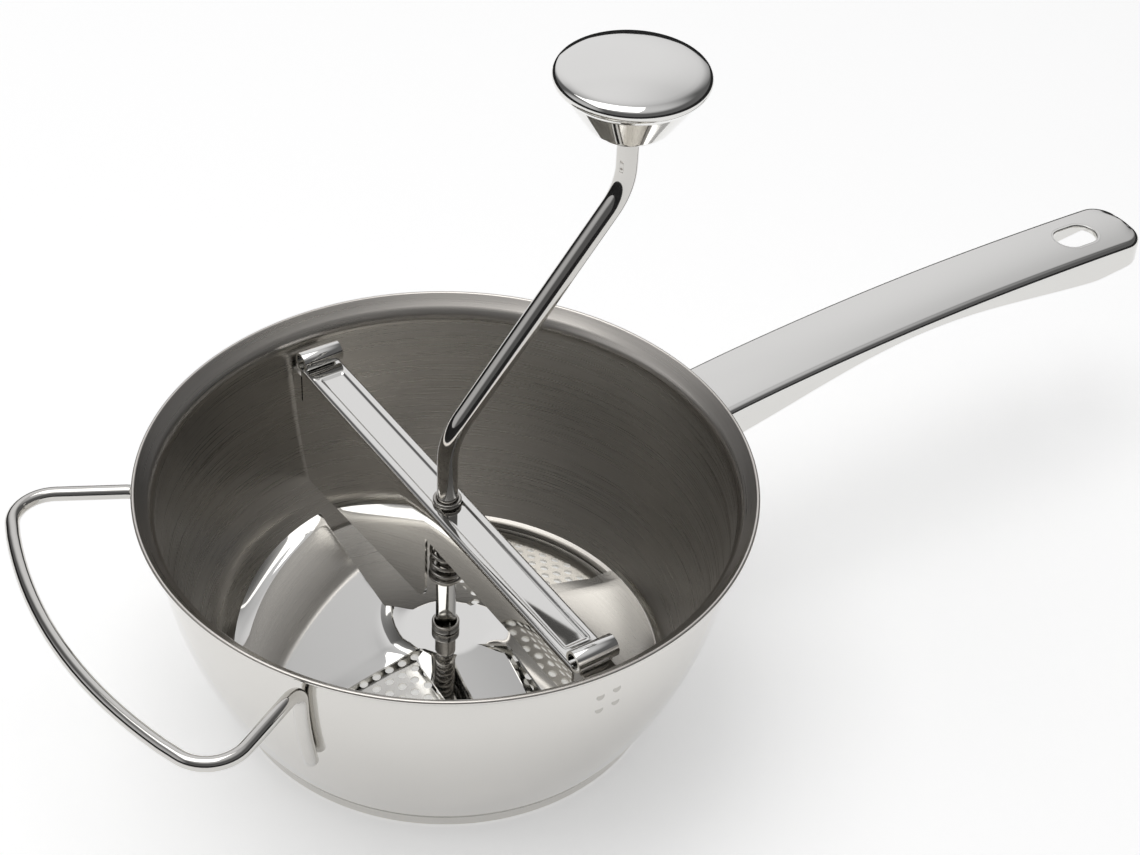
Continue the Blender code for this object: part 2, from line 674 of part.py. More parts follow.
def make_bridge(mat):
    """Inverted channel with rolled ends; one side wall is drawn down into a deep baffle."""
    end = bridge_half_length()
    top = bridge_top()
    strip = box("bridge", (BRIDGE_WIDTH, 2 * end - 2 * ROLL_RADIUS, BRIDGE_SHEET),
                (0, 0, top - BRIDGE_SHEET / 2), mat)
    upright = Matrix.Rotation(math.radians(90), 4, "Z") @ Matrix.Rotation(math.radians(90), 4, "X")
    for side, deep in ((-1, True), (1, False)):
        across = side * ((BRIDGE_WIDTH - BRIDGE_SHEET) / 2 - STEP_IN)
        place = Matrix.Translation((across, 0, 0)) @ upright
        combine(strip, plate("flange_tool", flange_outline(deep), BRIDGE_SHEET, mat, place), "UNION")
    for side in (-1, 1):
        middle = (end - ROLL_RADIUS, top - BRIDGE_SHEET + ROLL_RADIUS + 2 * STEP_IN)
        outer = [(middle[0] + ROLL_RADIUS * math.cos(a), middle[1] + ROLL_RADIUS * math.sin(a))
                 for a in arc_angles(-100, 205, 12)]
        bore = ROLL_RADIUS - BRIDGE_SHEET
        inner = [(middle[0] + bore * math.cos(a), middle[1] + bore * math.sin(a))
                 for a in arc_angles(205, -100, 12)]
        turn = Matrix.Rotation(math.radians(90 * side), 4, "Z") @ Matrix.Rotation(math.radians(90), 4, "X")
        combine(strip, plate("roll_tool", outer + inner, BRIDGE_WIDTH - 4 * STEP_IN, mat, turn), "UNION")
    hole = turned("shaft_cutter", [(0.0, top + 3 * MM), (ROD_RADIUS + GAP, top + 3 * MM),
                                   (ROD_RADIUS + GAP, top - 3 * MM), (0.0, top - 3 * MM)], mat, 20,
                  closed=False)
    bpy.context.view_layer.update()
    combine(strip, freeze(hole, "shaft_cutter", mat), "DIFFERENCE")
    return strip


# --- knob -----------------------------------------------------------------------------------------
def make_knob(cap_mat, cup_mat, steel_mat):
    """Two-part knob: a domed cap with a conical skirt over a small cup, on a sleeve and a rivet."""
    base = knob_base()
    axis = (CRANK_REACH, 0.0, base)
    top = base + KNOB_HEIGHT
    edge = KNOB_RADIUS
    sheet = KNOB_SHEET
    neck = base + KNOB_CUP_DEPTH
    outer = [(0.0, top), (0.40 * edge, top - 0.3 * MM), (0.74 * edge, top - 1.3 * MM),
             (0.93 * edge, top - 2.8 * MM), (edge, top - 5.2 * MM), (0.985 * edge, top - 6.6 * MM),
             (0.93 * edge, top - 8.4 * MM), (KNOB_NECK_RADIUS, neck)]
    inner = [(KNOB_NECK_RADIUS - sheet, neck), (0.93 * edge - sheet, top - 8.5 * MM),
             (0.95 * edge - sheet, top - 5.8 * MM), (0.90 * edge - sheet, top - 4.2 * MM),
             (0.72 * edge, top - 1.3 * MM - sheet * 1.2), (0.0, top - 0.3 * MM - sheet)]
    turned("knob_cap", outer + inner, cap_mat, 24, axis, closed=False)
    wall = KNOB_NECK_RADIUS - sheet - GAP
    bore = ROD_RADIUS + GAP
    cup = [(wall, neck + 1.6 * MM), (wall, neck), (0.93 * wall, base + 2.2 * MM), (0.72 * wall, base + 0.8 * MM),
           (0.5 * wall, base), (bore, base), (bore, base + sheet), (0.5 * wall, base + sheet),
           (0.72 * wall - 0.4 * MM, base + 1.7 * MM), (wall - sheet, neck), (wall - sheet, neck + 1.6 * MM)]
    turned("knob_cup", cup, cup_mat, 24, axis)
    pin_top = knob_pin_top()
    ring("knob_sleeve", bore, bore + SLEEVE_WALL, base + sheet + GAP, pin_top - 2 * GAP, steel_mat, 16, axis)
    under = pin_top + GAP
    head = [(0.0, under + RIVET_HEIGHT), (0.6 * RIVET_RADIUS, under + 0.9 * RIVET_HEIGHT),
            (RIVET_RADIUS, under + 0.4 * RIVET_HEIGHT), (RIVET_RADIUS, under), (0.0, under)]
    turned("knob_rivet", head, steel_mat, 16, axis, closed=False)


def main():
    clear_scene()
    brushed = steel("brushed_steel", (0.60, 0.58, 0.55), 0.32)
    polished = steel("polished_steel", (0.80, 0.80, 0.80), 0.08)
    satin = steel("satin_steel", (0.72, 0.71, 0.70), 0.18)
    wire = steel("drawn_wire_steel", (0.66, 0.65, 0.64), 0.14)
    dark = steel("spring_steel", (0.42, 0.41, 0.40), 0.25)
    make_bowl(brushed)
    make_bracket("bridge_bracket_far", 1, satin)
    make_bracket("bridge_bracket_near", -1, satin)
    make_long_handle(polished)
    make_helper_handle(wire)
    make_sieve(satin)
    make_blade(polished)
    make_pilot(dark)
    make_crank(polished)
    bore = ROD_RADIUS + GAP
    ring("blade_collar", bore, bore + RING_WALL, boss_top() + GAP, boss_top() + GAP + COLLAR_HEIGHT, satin)
    top = bridge_top()
    ring("crank_clip", bore, bore + RING_WALL, top + GAP, top + GAP + CLIP_HEIGHT, dark)
    under = top - BRIDGE_SHEET - GAP
    ring("upper_spring_washer", bore, WASHER_RADIUS, under - WASHER, under, satin)
    make_spring(dark)
    seat = spring_bottom() - GAP
    ring("lower_spring_seat", bore, WASHER_RADIUS, seat - WASHER, seat, satin)
    stop = seat - WASHER - GAP
    ring("spring_stop_ring", bore, bore + RING_WALL, stop - STOP_HEIGHT, stop, dark)
    make_bridge(polished)
    make_knob(polished, satin, dark)


main()
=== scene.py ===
"""Rotary food mill in stainless steel: the look of every piece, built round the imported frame.

Metres, +Z up.  The bowl stands on z = 0, the long handle points along +X, the wire handle along -X
and the bridge lies along Y, as in the frame.
"""
import math

import bmesh
import bpy
from mathutils import Matrix, Vector


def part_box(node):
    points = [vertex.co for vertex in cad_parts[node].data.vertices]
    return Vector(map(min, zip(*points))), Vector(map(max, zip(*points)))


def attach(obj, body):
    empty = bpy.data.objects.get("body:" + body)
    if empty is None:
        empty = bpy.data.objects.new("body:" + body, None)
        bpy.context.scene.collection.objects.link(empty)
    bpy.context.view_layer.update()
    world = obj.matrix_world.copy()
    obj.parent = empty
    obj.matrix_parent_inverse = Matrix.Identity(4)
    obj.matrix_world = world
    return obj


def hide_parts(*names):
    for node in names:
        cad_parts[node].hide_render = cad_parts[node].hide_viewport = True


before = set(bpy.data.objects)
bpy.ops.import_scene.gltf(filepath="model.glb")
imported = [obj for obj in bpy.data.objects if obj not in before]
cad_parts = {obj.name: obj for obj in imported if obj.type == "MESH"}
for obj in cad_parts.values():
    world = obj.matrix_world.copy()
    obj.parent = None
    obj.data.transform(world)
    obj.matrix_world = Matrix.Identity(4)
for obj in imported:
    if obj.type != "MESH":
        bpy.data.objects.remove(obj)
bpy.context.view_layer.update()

MM = 0.001
GAP = 0.3 * MM

# --- sizes, as the frame has them -----------------------------------------------------------------
RIM = 88.7 * MM
NECK = 82.7 * MM                    # where the pouring lip starts to flare
LIP_RADIUS = 105.0 * MM
WALL_RADIUS = 98.5 * MM
WALL_TAPER = 21.7 * MM
FOOT_HEIGHT = 5.3 * MM
FOOT_RADIUS = 75.4 * MM
SHEET = 0.8 * MM
LEDGE = 5.2 * MM

DISC_EDGE = 74.3 * MM
DISC_FLAT = 71.9 * MM               # the dome ends here and the flat rim starts
DISC_BASE = 1.9 * MM                # top of the flat rim
DISC_RISE = 14.4 * MM
HOLE_RADIUS = 1.5 * MM
HOLE_PITCH = 5.1 * MM
FIELD_RADIUS = 66.5 * MM            # holes end here
PILOT_RADIUS = 3.8 * MM

BLADE_RADIUS = 74.6 * MM
BOSS_RADIUS = 14.0 * MM
BOSS_TOP = 19.0 * MM
ROD_RADIUS = 3.6 * MM
BRIDGE_TOP = 77.8 * MM
BRIDGE_HALF = 91.9 * MM
BRIDGE_WIDTH = 15.5 * MM
KNOB_BASE = 204.3 * MM
KNOB_TOP = 230.0 * MM
KNOB_RADIUS = 25.4 * MM
KNOB_NECK = 14.2 * MM
CRANK_REACH = 66.0 * MM
CRANK_KNEE = RIM + 16.1 * MM
CRANK_ELBOW = CRANK_KNEE + 78.3 * MM
HANDLE_END = 310.0 * MM
HANDLE_HALF = 14.25 * MM
SLOT_CENTRE = HANDLE_END - 26.5 * MM
SLOT_HALF = 6.4 * MM                # half its width, and the radius of its ends
SLOT_FLAT = 2.95 * MM               # half of its straight part
WIRE_LEVEL = RIM - 8.2 * MM


# --- tools ----------------------------------------------------------------------------------------
def colour(code):
    """Linear RGBA from an sRGB hex code."""
    parts = [int(code[i:i + 2], 16) / 255 for i in (1, 3, 5)]
    return tuple(p / 12.92 if p <= 0.04045 else ((p + 0.055) / 1.055) ** 2.4 for p in parts) + (1.0,)


def add(tree, kind, inputs=None, **settings):
    """Add a node with its settings; each input is a value or the output that feeds it."""
    made = tree.nodes.new(kind)
    for name, value in settings.items():
        setattr(made, name, value)
    for key, value in (inputs or {}).items():
        if isinstance(value, bpy.types.NodeSocket):
            tree.links.new(value, made.inputs[key])
        else:
            made.inputs[key].default_value = value
    return made


def rounded(points, radius, steps=6, closed=False, reach_share=0.48):
    """A polyline with every corner turned into an arc, kept short of its neighbours."""
    points = [Vector(p) for p in points]
    radii = radius if isinstance(radius, (list, tuple)) else [radius] * len(points)
    count = len(points)
    path = []
    for i, corner in enumerate(points):
        if not closed and i in (0, count - 1) or radii[i] <= 0:
            path.append(corner)
            continue
        back, ahead = points[i - 1] - corner, points[(i + 1) % count] - corner
        room = reach_share * min(back.length, ahead.length)
        back, ahead = back.normalized(), ahead.normalized()
        half = back.angle(ahead) / 2
        if half > math.radians(89):
            path.append(corner)
            continue
        reach = min(radii[i] / math.tan(half), room)
        bend = reach * math.tan(half)
        centre = corner + (back + ahead).normalized() * (bend / math.sin(half))
        start = (corner + back * reach - centre).normalized()
        end = (corner + ahead * reach - centre).normalized()
        sweep = start.angle(end)
        for k in range(steps + 1):
            t = k / steps
            mix = start * math.sin((1 - t) * sweep) + end * math.sin(t * sweep)
            path.append(centre + bend * mix / math.sin(sweep))
    return path


def piece(name, verts, faces, material, body, replaced=(), sharp=32, outward=True):
    """Make a mesh piece, smooth but for its real edges, and hang it on its body."""
    mesh = bpy.data.meshes.new(name)
    mesh.from_pydata([tuple(v) for v in verts], [], faces)
    work = bmesh.new()
    work.from_mesh(mesh)
    bmesh.ops.remove_doubles(work, verts=work.verts, dist=1e-6)
    if outward:
        bmesh.ops.recalc_face_normals(work, faces=work.faces)
    work.to_mesh(mesh)
    work.free()
    return settle(bpy.data.objects.new(name, mesh), material, body, replaced, sharp)


def settle(obj, material, body, replaced=(), sharp=32):
    """Apply what is left on a piece, smooth it and hang it on its body."""
    if obj.name not in bpy.context.scene.collection.objects:
        bpy.context.scene.collection.objects.link(obj)
    if obj.modifiers:
        graph = bpy.context.evaluated_depsgraph_get()
        mesh = bpy.data.meshes.new_from_object(obj.evaluated_get(graph))
        obj.modifiers.clear()
        obj.data = mesh
    mesh = obj.data
    mesh.polygons.foreach_set("use_smooth", [True] * len(mesh.polygons))
    mesh.set_sharp_from_angle(angle=math.radians(sharp))
    if material:
        mesh.materials.clear()
        mesh.materials.append(material)
    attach(obj, body)
    if replaced:
        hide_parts(*replaced)
    return obj


def lattice(rows, close_rows=False, close_columns=False):
    """Vertices and quads of a grid of points."""
    width, height = len(rows[0]), len(rows)
    verts = [p for row in rows for p in row]
    faces = []
    for i in range(height if close_rows else height - 1):
        for j in range(width if close_columns else width - 1):
            a, b = i * width + j, i * width + (j + 1) % width
            c, d = (i + 1) % height * width + (j + 1) % width, (i + 1) % height * width + j
            faces.append((a, b, c, d))
    return verts, faces


def turned(name, profile, material, body, replaced=(), steps=96, centre=(0, 0), closed=True, sharp=32):
    """Turn a profile of (radius, height) about an upright axis."""
    rows = []
    for k in range(steps):
        angle = 2 * math.pi * k / steps
        rows.append([(centre[0] + p[0] * math.cos(angle), centre[1] + p[0] * math.sin(angle), p[1])
                     for p in profile])
    verts, faces = lattice(rows, close_rows=True, close_columns=closed)
    mesh = bpy.data.meshes.new(name)
    mesh.from_pydata(verts, [], faces)
    work = bmesh.new()
    work.from_mesh(mesh)
    bmesh.ops.remove_doubles(work, verts=work.verts, dist=1e-6)
    bmesh.ops.dissolve_degenerate(work, edges=work.edges, dist=1e-7)
    bmesh.ops.recalc_face_normals(work, faces=work.faces)
    work.to_mesh(mesh)
    work.free()
    return settle(bpy.data.objects.new(name, mesh), material, body, replaced, sharp)


def tube(name, path, radius, material, body, replaced=(), sides=28, end=0.5):
    """Round bar along a path, its two ends slightly rounded."""
    path = [Vector(p) for p in path]
    tangents = []
    for i in range(len(path)):
        tangents.append((path[min(i + 1, len(path) - 1)] - path[max(i - 1, 0)]).normalized())
    side = tangents[0].orthogonal().normalized()
    rows = []
    stations = [(path[0], tangents[0], radius * (1 - end)), (path[0], tangents[0], radius)]
    stations[1] = (path[0] + tangents[0] * radius * end, tangents[0], radius)
    stations += [(p, t, radius) for p, t in list(zip(path, tangents))[1:-1]]
    stations.append((path[-1] - tangents[-1] * radius * end, tangents[-1], radius))
    stations.append((path[-1], tangents[-1], radius * (1 - end)))
    for place, tangent, size in stations:
        side = (side - tangent * side.dot(tangent)).normalized()
        other = tangent.cross(side)
        rows.append([place + size * (side * math.cos(a) + other * math.sin(a))
                     for a in (2 * math.pi * k / sides for k in range(sides))])
    verts, faces = lattice(rows, close_columns=True)
    faces.append(tuple(range(sides)))
    faces.append(tuple(len(verts) - 1 - k for k in range(sides)))
    return piece(name, verts, faces, material, body, replaced, sharp=50)


def grown(name, sizes, build, base=None):
    """Object with a node tree of named sizes; build(tree, given) returns the last geometry socket."""
    tree = bpy.data.node_groups.new(name, "GeometryNodeTree")
    tree.interface.new_socket("Geometry", in_out="INPUT", socket_type="NodeSocketGeometry")
    kinds = {float: "NodeSocketFloat", int: "NodeSocketInt", bpy.types.Material: "NodeSocketMaterial"}
    sockets = {}
    for label, value in sizes.items():
        sockets[label] = tree.interface.new_socket(label, in_out="INPUT", socket_type=kinds[type(value)])
    tree.interface.new_socket("Geometry", in_out="OUTPUT", socket_type="NodeSocketGeometry")
    given = add(tree, "NodeGroupInput")
    realized = add(tree, "GeometryNodeRealizeInstances", {0: build(tree, given)})
    painted = add(tree, "GeometryNodeSetMaterial", {"Geometry": realized.outputs[0],
                                                    "Material": given.outputs["Material"]})
    add(tree, "NodeGroupOutput", {0: painted.outputs[0]})
    obj = bpy.data.objects.new(name, base or bpy.data.meshes.new(name))
    bpy.context.scene.collection.objects.link(obj)
    modifier = obj.modifiers.new(name, "NODES")
    modifier.node_group = tree
    for label, value in sizes.items():
        modifier[sockets[label].identifier] = value
    return obj


def harden(obj):
    """Turn a grown object into a plain mesh and drop its modifiers."""
    bpy.context.view_layer.update()
    graph = bpy.context.evaluated_depsgraph_get()
    mesh = bpy.data.meshes.new_from_object(obj.evaluated_get(graph))
    obj.modifiers.clear()
    obj.data = mesh
    return obj


# --- steels ---------------------------------------------------------------------------------------
def steel(name, code, roughness, anisotropic=0.0, spread=(20, 20, 20), detail=3.0, lift=0.0, vary=0.0,
          tint=None, second=None):
    """Bare stainless steel: a grain stretched by spread (cycles per metre) moves its relief and gloss."""
    made = bpy.data.materials.new(name)
    made.use_nodes = True
    tree = made.node_tree
    shader = tree.nodes["Principled BSDF"]
    shader.inputs["Base Color"].default_value = colour(code)
    shader.inputs["Metallic"].default_value = 1.0
    shader.inputs["Roughness"].default_value = roughness
    shader.inputs["Anisotropic"].default_value = anisotropic
    place = add(tree, "ShaderNodeTexCoord").outputs["Object"]
    scaled = add(tree, "ShaderNodeMapping", {"Vector": place, "Scale": spread}).outputs[0]
    grain = add(tree, "ShaderNodeTexNoise", {"Vector": scaled, "Scale": 1.0, "Detail": detail,
                                             "Roughness": 0.62}).outputs["Fac"]
    height = grain
    if second:
        far = add(tree, "ShaderNodeMapping", {"Vector": place, "Scale": second}).outputs[0]
        other = add(tree, "ShaderNodeTexNoise", {"Vector": far, "Scale": 1.0, "Detail": 2.0}).outputs["Fac"]
        height = add(tree, "ShaderNodeMath", {0: grain, 1: other}, operation="ADD").outputs[0]
    if vary:
        gloss = add(tree, "ShaderNodeMapRange", {"Value": grain, "From Min": 0.3, "From Max": 0.7,
                                                 "To Min": roughness - vary, "To Max": roughness + vary})
        tree.links.new(gloss.outputs[0], shader.inputs["Roughness"])
    if tint:
        mix = add(tree, "ShaderNodeMix", {"Factor": grain, "A": colour(code), "B": colour(tint)},
                  data_type="RGBA")
        mix.inputs[6].default_value = colour(code)
        mix.inputs[7].default_value = colour(tint)
        tree.links.new(mix.outputs[2], shader.inputs["Base Color"])
    if lift:
        bump = add(tree, "ShaderNodeBump", {"Height": height, "Strength": 1.0, "Distance": lift})
        tree.links.new(bump.outputs[0], shader.inputs["Normal"])
    if anisotropic:
        round_axis = add(tree, "ShaderNodeTangent", direction_type="RADIAL", axis="Z")
        tree.links.new(round_axis.outputs[0], shader.inputs["Tangent"])
    return made


# Brushed in a lathe: rings of fine scratches, which smear every reflection up and down the wall.
lathe_brushed = steel("lathe_brushed_stainless", "#C2BEB8", 0.30, 0.6, (11, 11, 1900), 4.0, 0.016 * MM, 0.07,
                      "#D8D5D0", (5, 5, 520))
# The lip is brushed once more, finer and lighter.
lip_brushed = steel("fine_brushed_stainless", "#CFCAC3", 0.30, 0.4, (14, 14, 2400), 3.0, 0.006 * MM, 0.04,
                    "#DEDAD4")
# Buffed sheet: nearly a mirror, with the slow waves that deep drawing leaves.
buffed = steel("buffed_stainless_sheet", "#D9D7D3", 0.13, 0.0, (14, 14, 22), 2.0, 0.05 * MM, 0.03)
# Mirror-polished pressings: the blade, the bridge and the knob.
mirror = steel("mirror_polished_stainless", "#E2E1DE", 0.045, 0.0, (32, 32, 32), 2.0, 0.018 * MM, 0.012)
# Pressed and polished handle: a long soft gradient.
handle_polish = steel("polished_pressed_stainless", "#DEDDDA", 0.10, 0.0, (9, 26, 26), 2.0, 0.03 * MM, 0.025)
# Bright drawn bar and wire: sharp, dark lines along the round.
bar_polish = steel("bright_drawn_stainless_bar", "#CFCDC9", 0.06, 0.0, (60, 60, 60), 2.0, 0.004 * MM, 0.015)
# Punched and tumbled disc: light, a little duller than the mirror pieces.
punched = steel("tumbled_punched_stainless", "#DAD8D3", 0.15, 0.0, (120, 120, 120), 3.0, 0.012 * MM, 0.05)
# Hard spring wire: darker, slightly rough from coiling.
spring_wire = steel("hard_stainless_spring_wire", "#A9A6A1", 0.20, 0.0, (300, 300, 300), 2.0, 0.004 * MM, 0.05)
# Turned washers and rivets, with tool marks.
turned_steel = steel("turned_stainless_fittings", "#B9B6B1", 0.19, 0.0, (200, 200, 900), 2.0, 0.006 * MM, 0.05)


# --- bowl -----------------------------------------------------------------------------------------
def wall_radius(height):
    below = max(NECK - height, 0.0)
    return WALL_RADIUS - WALL_TAPER * (below / (NECK - FOOT_HEIGHT)) ** 2.05


def make_bowl():
    """Drawn bowl; the outside is buffed, the inside brushed in a lathe, the lip brushed finer."""
    low = NECK - 7 * MM
    heights = [low - (low - FOOT_HEIGHT) * k / 30 for k in range(31)]
    bend = [0, 13 * MM, 0]
    lip = rounded([(wall_radius(low), low), (WALL_RADIUS, NECK), (LIP_RADIUS - 1.0 * MM, RIM - 1.6 * MM)], bend, 12)
    edge = [(LIP_RADIUS - 0.75 * MM + 0.75 * MM * math.cos(a), RIM - 0.75 * MM + 0.75 * MM * math.sin(a))
            for a in (math.radians(d) for d in range(-40, 141, 18))]
    back = rounded([(LIP_RADIUS - 1.9 * MM, RIM - 0.9 * MM), (WALL_RADIUS - SHEET, NECK + 0.4 * MM),
                    (wall_radius(low) - SHEET, low)], bend, 12)
    outside = [(wall_radius(z), z) for z in reversed(heights)][:-1]
    inside = [(wall_radius(z) - SHEET, z) for z in heights][1:]
    foot = rounded([(FOOT_RADIUS - LEDGE, 0.0), (FOOT_RADIUS, 0.0), (FOOT_RADIUS, FOOT_HEIGHT - 0.9 * MM),
                    (FOOT_RADIUS + 1.4 * MM, FOOT_HEIGHT)], [0, 0.5 * MM, 0.5 * MM, 0], 4)
    ledge = rounded([(FOOT_RADIUS - SHEET, FOOT_HEIGHT - 0.4 * MM), (FOOT_RADIUS - SHEET, SHEET),
                     (FOOT_RADIUS - LEDGE, SHEET)], 0.4 * MM, 3)
    profile = [tuple(p)[:2] for p in foot + outside[1:] + lip + edge + back + inside + ledge]
    bowl = turned("bowl_shell", profile, None, "bowl", ("bowl",), steps=224, sharp=40)
    for finish in (buffed, lathe_brushed, lip_brushed):
        bowl.data.materials.append(finish)
    for face in bowl.data.polygons:
        centre, normal = face.center, face.normal
        radial = Vector((centre.x, centre.y, 0)).normalized()
        inward = normal.dot(radial) < -0.05 or (centre.z < FOOT_HEIGHT and centre.z > 0.5 * MM
                                                and math.hypot(centre.x, centre.y) < FOOT_RADIUS - 0.6 * MM)
        if centre.z > NECK - 0.5 * MM and (inward or normal.z > 0.2):
            face.material_index = 2
        elif inward:
            face.material_index = 1
    return bowl


def weld_marks(tree, given):
    """Small flat discs of turned steel on the wall where the inner brackets are spot-welded through it."""
    points = add(tree, "GeometryNodeMeshToPoints", {"Mesh": given.outputs["Geometry"]}).outputs[0]
    disc = add(tree, "GeometryNodeMeshCircle", {"Vertices": 20, "Radius": given.outputs["Mark Radius"]},
               fill_type="TRIANGLE_FAN").outputs[0]
    outward = add(tree, "GeometryNodeInputPosition").outputs[0]
    flat = add(tree, "ShaderNodeVectorMath", {0: outward, 1: (1.0, 1.0, 0.0)}, operation="MULTIPLY").outputs[0]
    turn = add(tree, "FunctionNodeAlignRotationToVector", {"Vector": flat}, axis="Z").outputs[0]
    return add(tree, "GeometryNodeInstanceOnPoints", {"Points": points, "Instance": disc,
                                                      "Rotation": turn}).outputs[0]


def make_weld_marks():
    spots = bpy.data.meshes.new("weld_spots")
    places = []
    for end in (-1, 1):
        for across, height in ((-3.2, 71.5), (3.0, 72.0), (-3.0, 65.0), (3.2, 65.6)):
            radius = wall_radius(height * MM) + 0.03 * MM
            x = across * MM
            places.append((x, end * math.sqrt(radius ** 2 - x ** 2), height * MM))
    spots.from_pydata(places, [], [])
    marks = grown("spot_weld_marks", {"Mark Radius": 1.5 * MM, "Material": turned_steel}, weld_marks, spots)
    settle(harden(marks), None, "bowl")


def make_brackets():
    """Bent angle inside each end of the bridge, its corner rounded by the press."""
    for name, side in (("far", 1), ("near", -1)):
        low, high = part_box("bridge_bracket_" + name)
        half = high.x
        top = high.z
        face = max(abs(low.y), abs(high.y))
        shelf = min(abs(low.y), abs(high.y))
        outline = rounded([(face, top), (face, low.z), (face - 1.0 * MM, low.z), (face - 1.0 * MM, top - 1.0 * MM),
                           (shelf, top - 1.0 * MM), (shelf, top)],
                          [1.6 * MM, 0.2 * MM, 0.2 * MM, 0.6 * MM, 0.2 * MM, 0.2 * MM], 5, closed=True)
        rows = [[(x, side * p[0], p[1]) for p in outline] for x in (-half, half)]
        verts, faces = lattice(rows, close_columns=True)
        count = len(outline)
        faces += [tuple(range(count)), tuple(2 * count - 1 - k for k in range(count))]
        piece("bridge_shelf_" + name, verts, faces, turned_steel, "bowl",
              ("bridge_bracket_" + name,))


# --- handles --------------------------------------------------------------------------------------
def handle_share(reach):
    return (reach - WALL_RADIUS) / (HANDLE_END - WALL_RADIUS)


def handle_top(reach):
    share = handle_share(reach)
    rise = min(share * 0.82, 0.5) ** 0.8 / 0.5 ** 0.8
    dip = max(share - 0.55, 0.0) / 0.45
    return RIM - 8.3 * MM + 7.4 * MM * math.sin(0.5 * math.pi * rise) - 2.5 * MM * dip ** 2


def handle_depth(reach):
    share = handle_share(reach)
    waist = math.sin(math.pi * share) ** 2 * (1.0 - 0.55 * share)
    return 13.6 * MM - 12.2 * MM * waist - 4.5 * MM * max(share - 0.88, 0.0) / 0.12


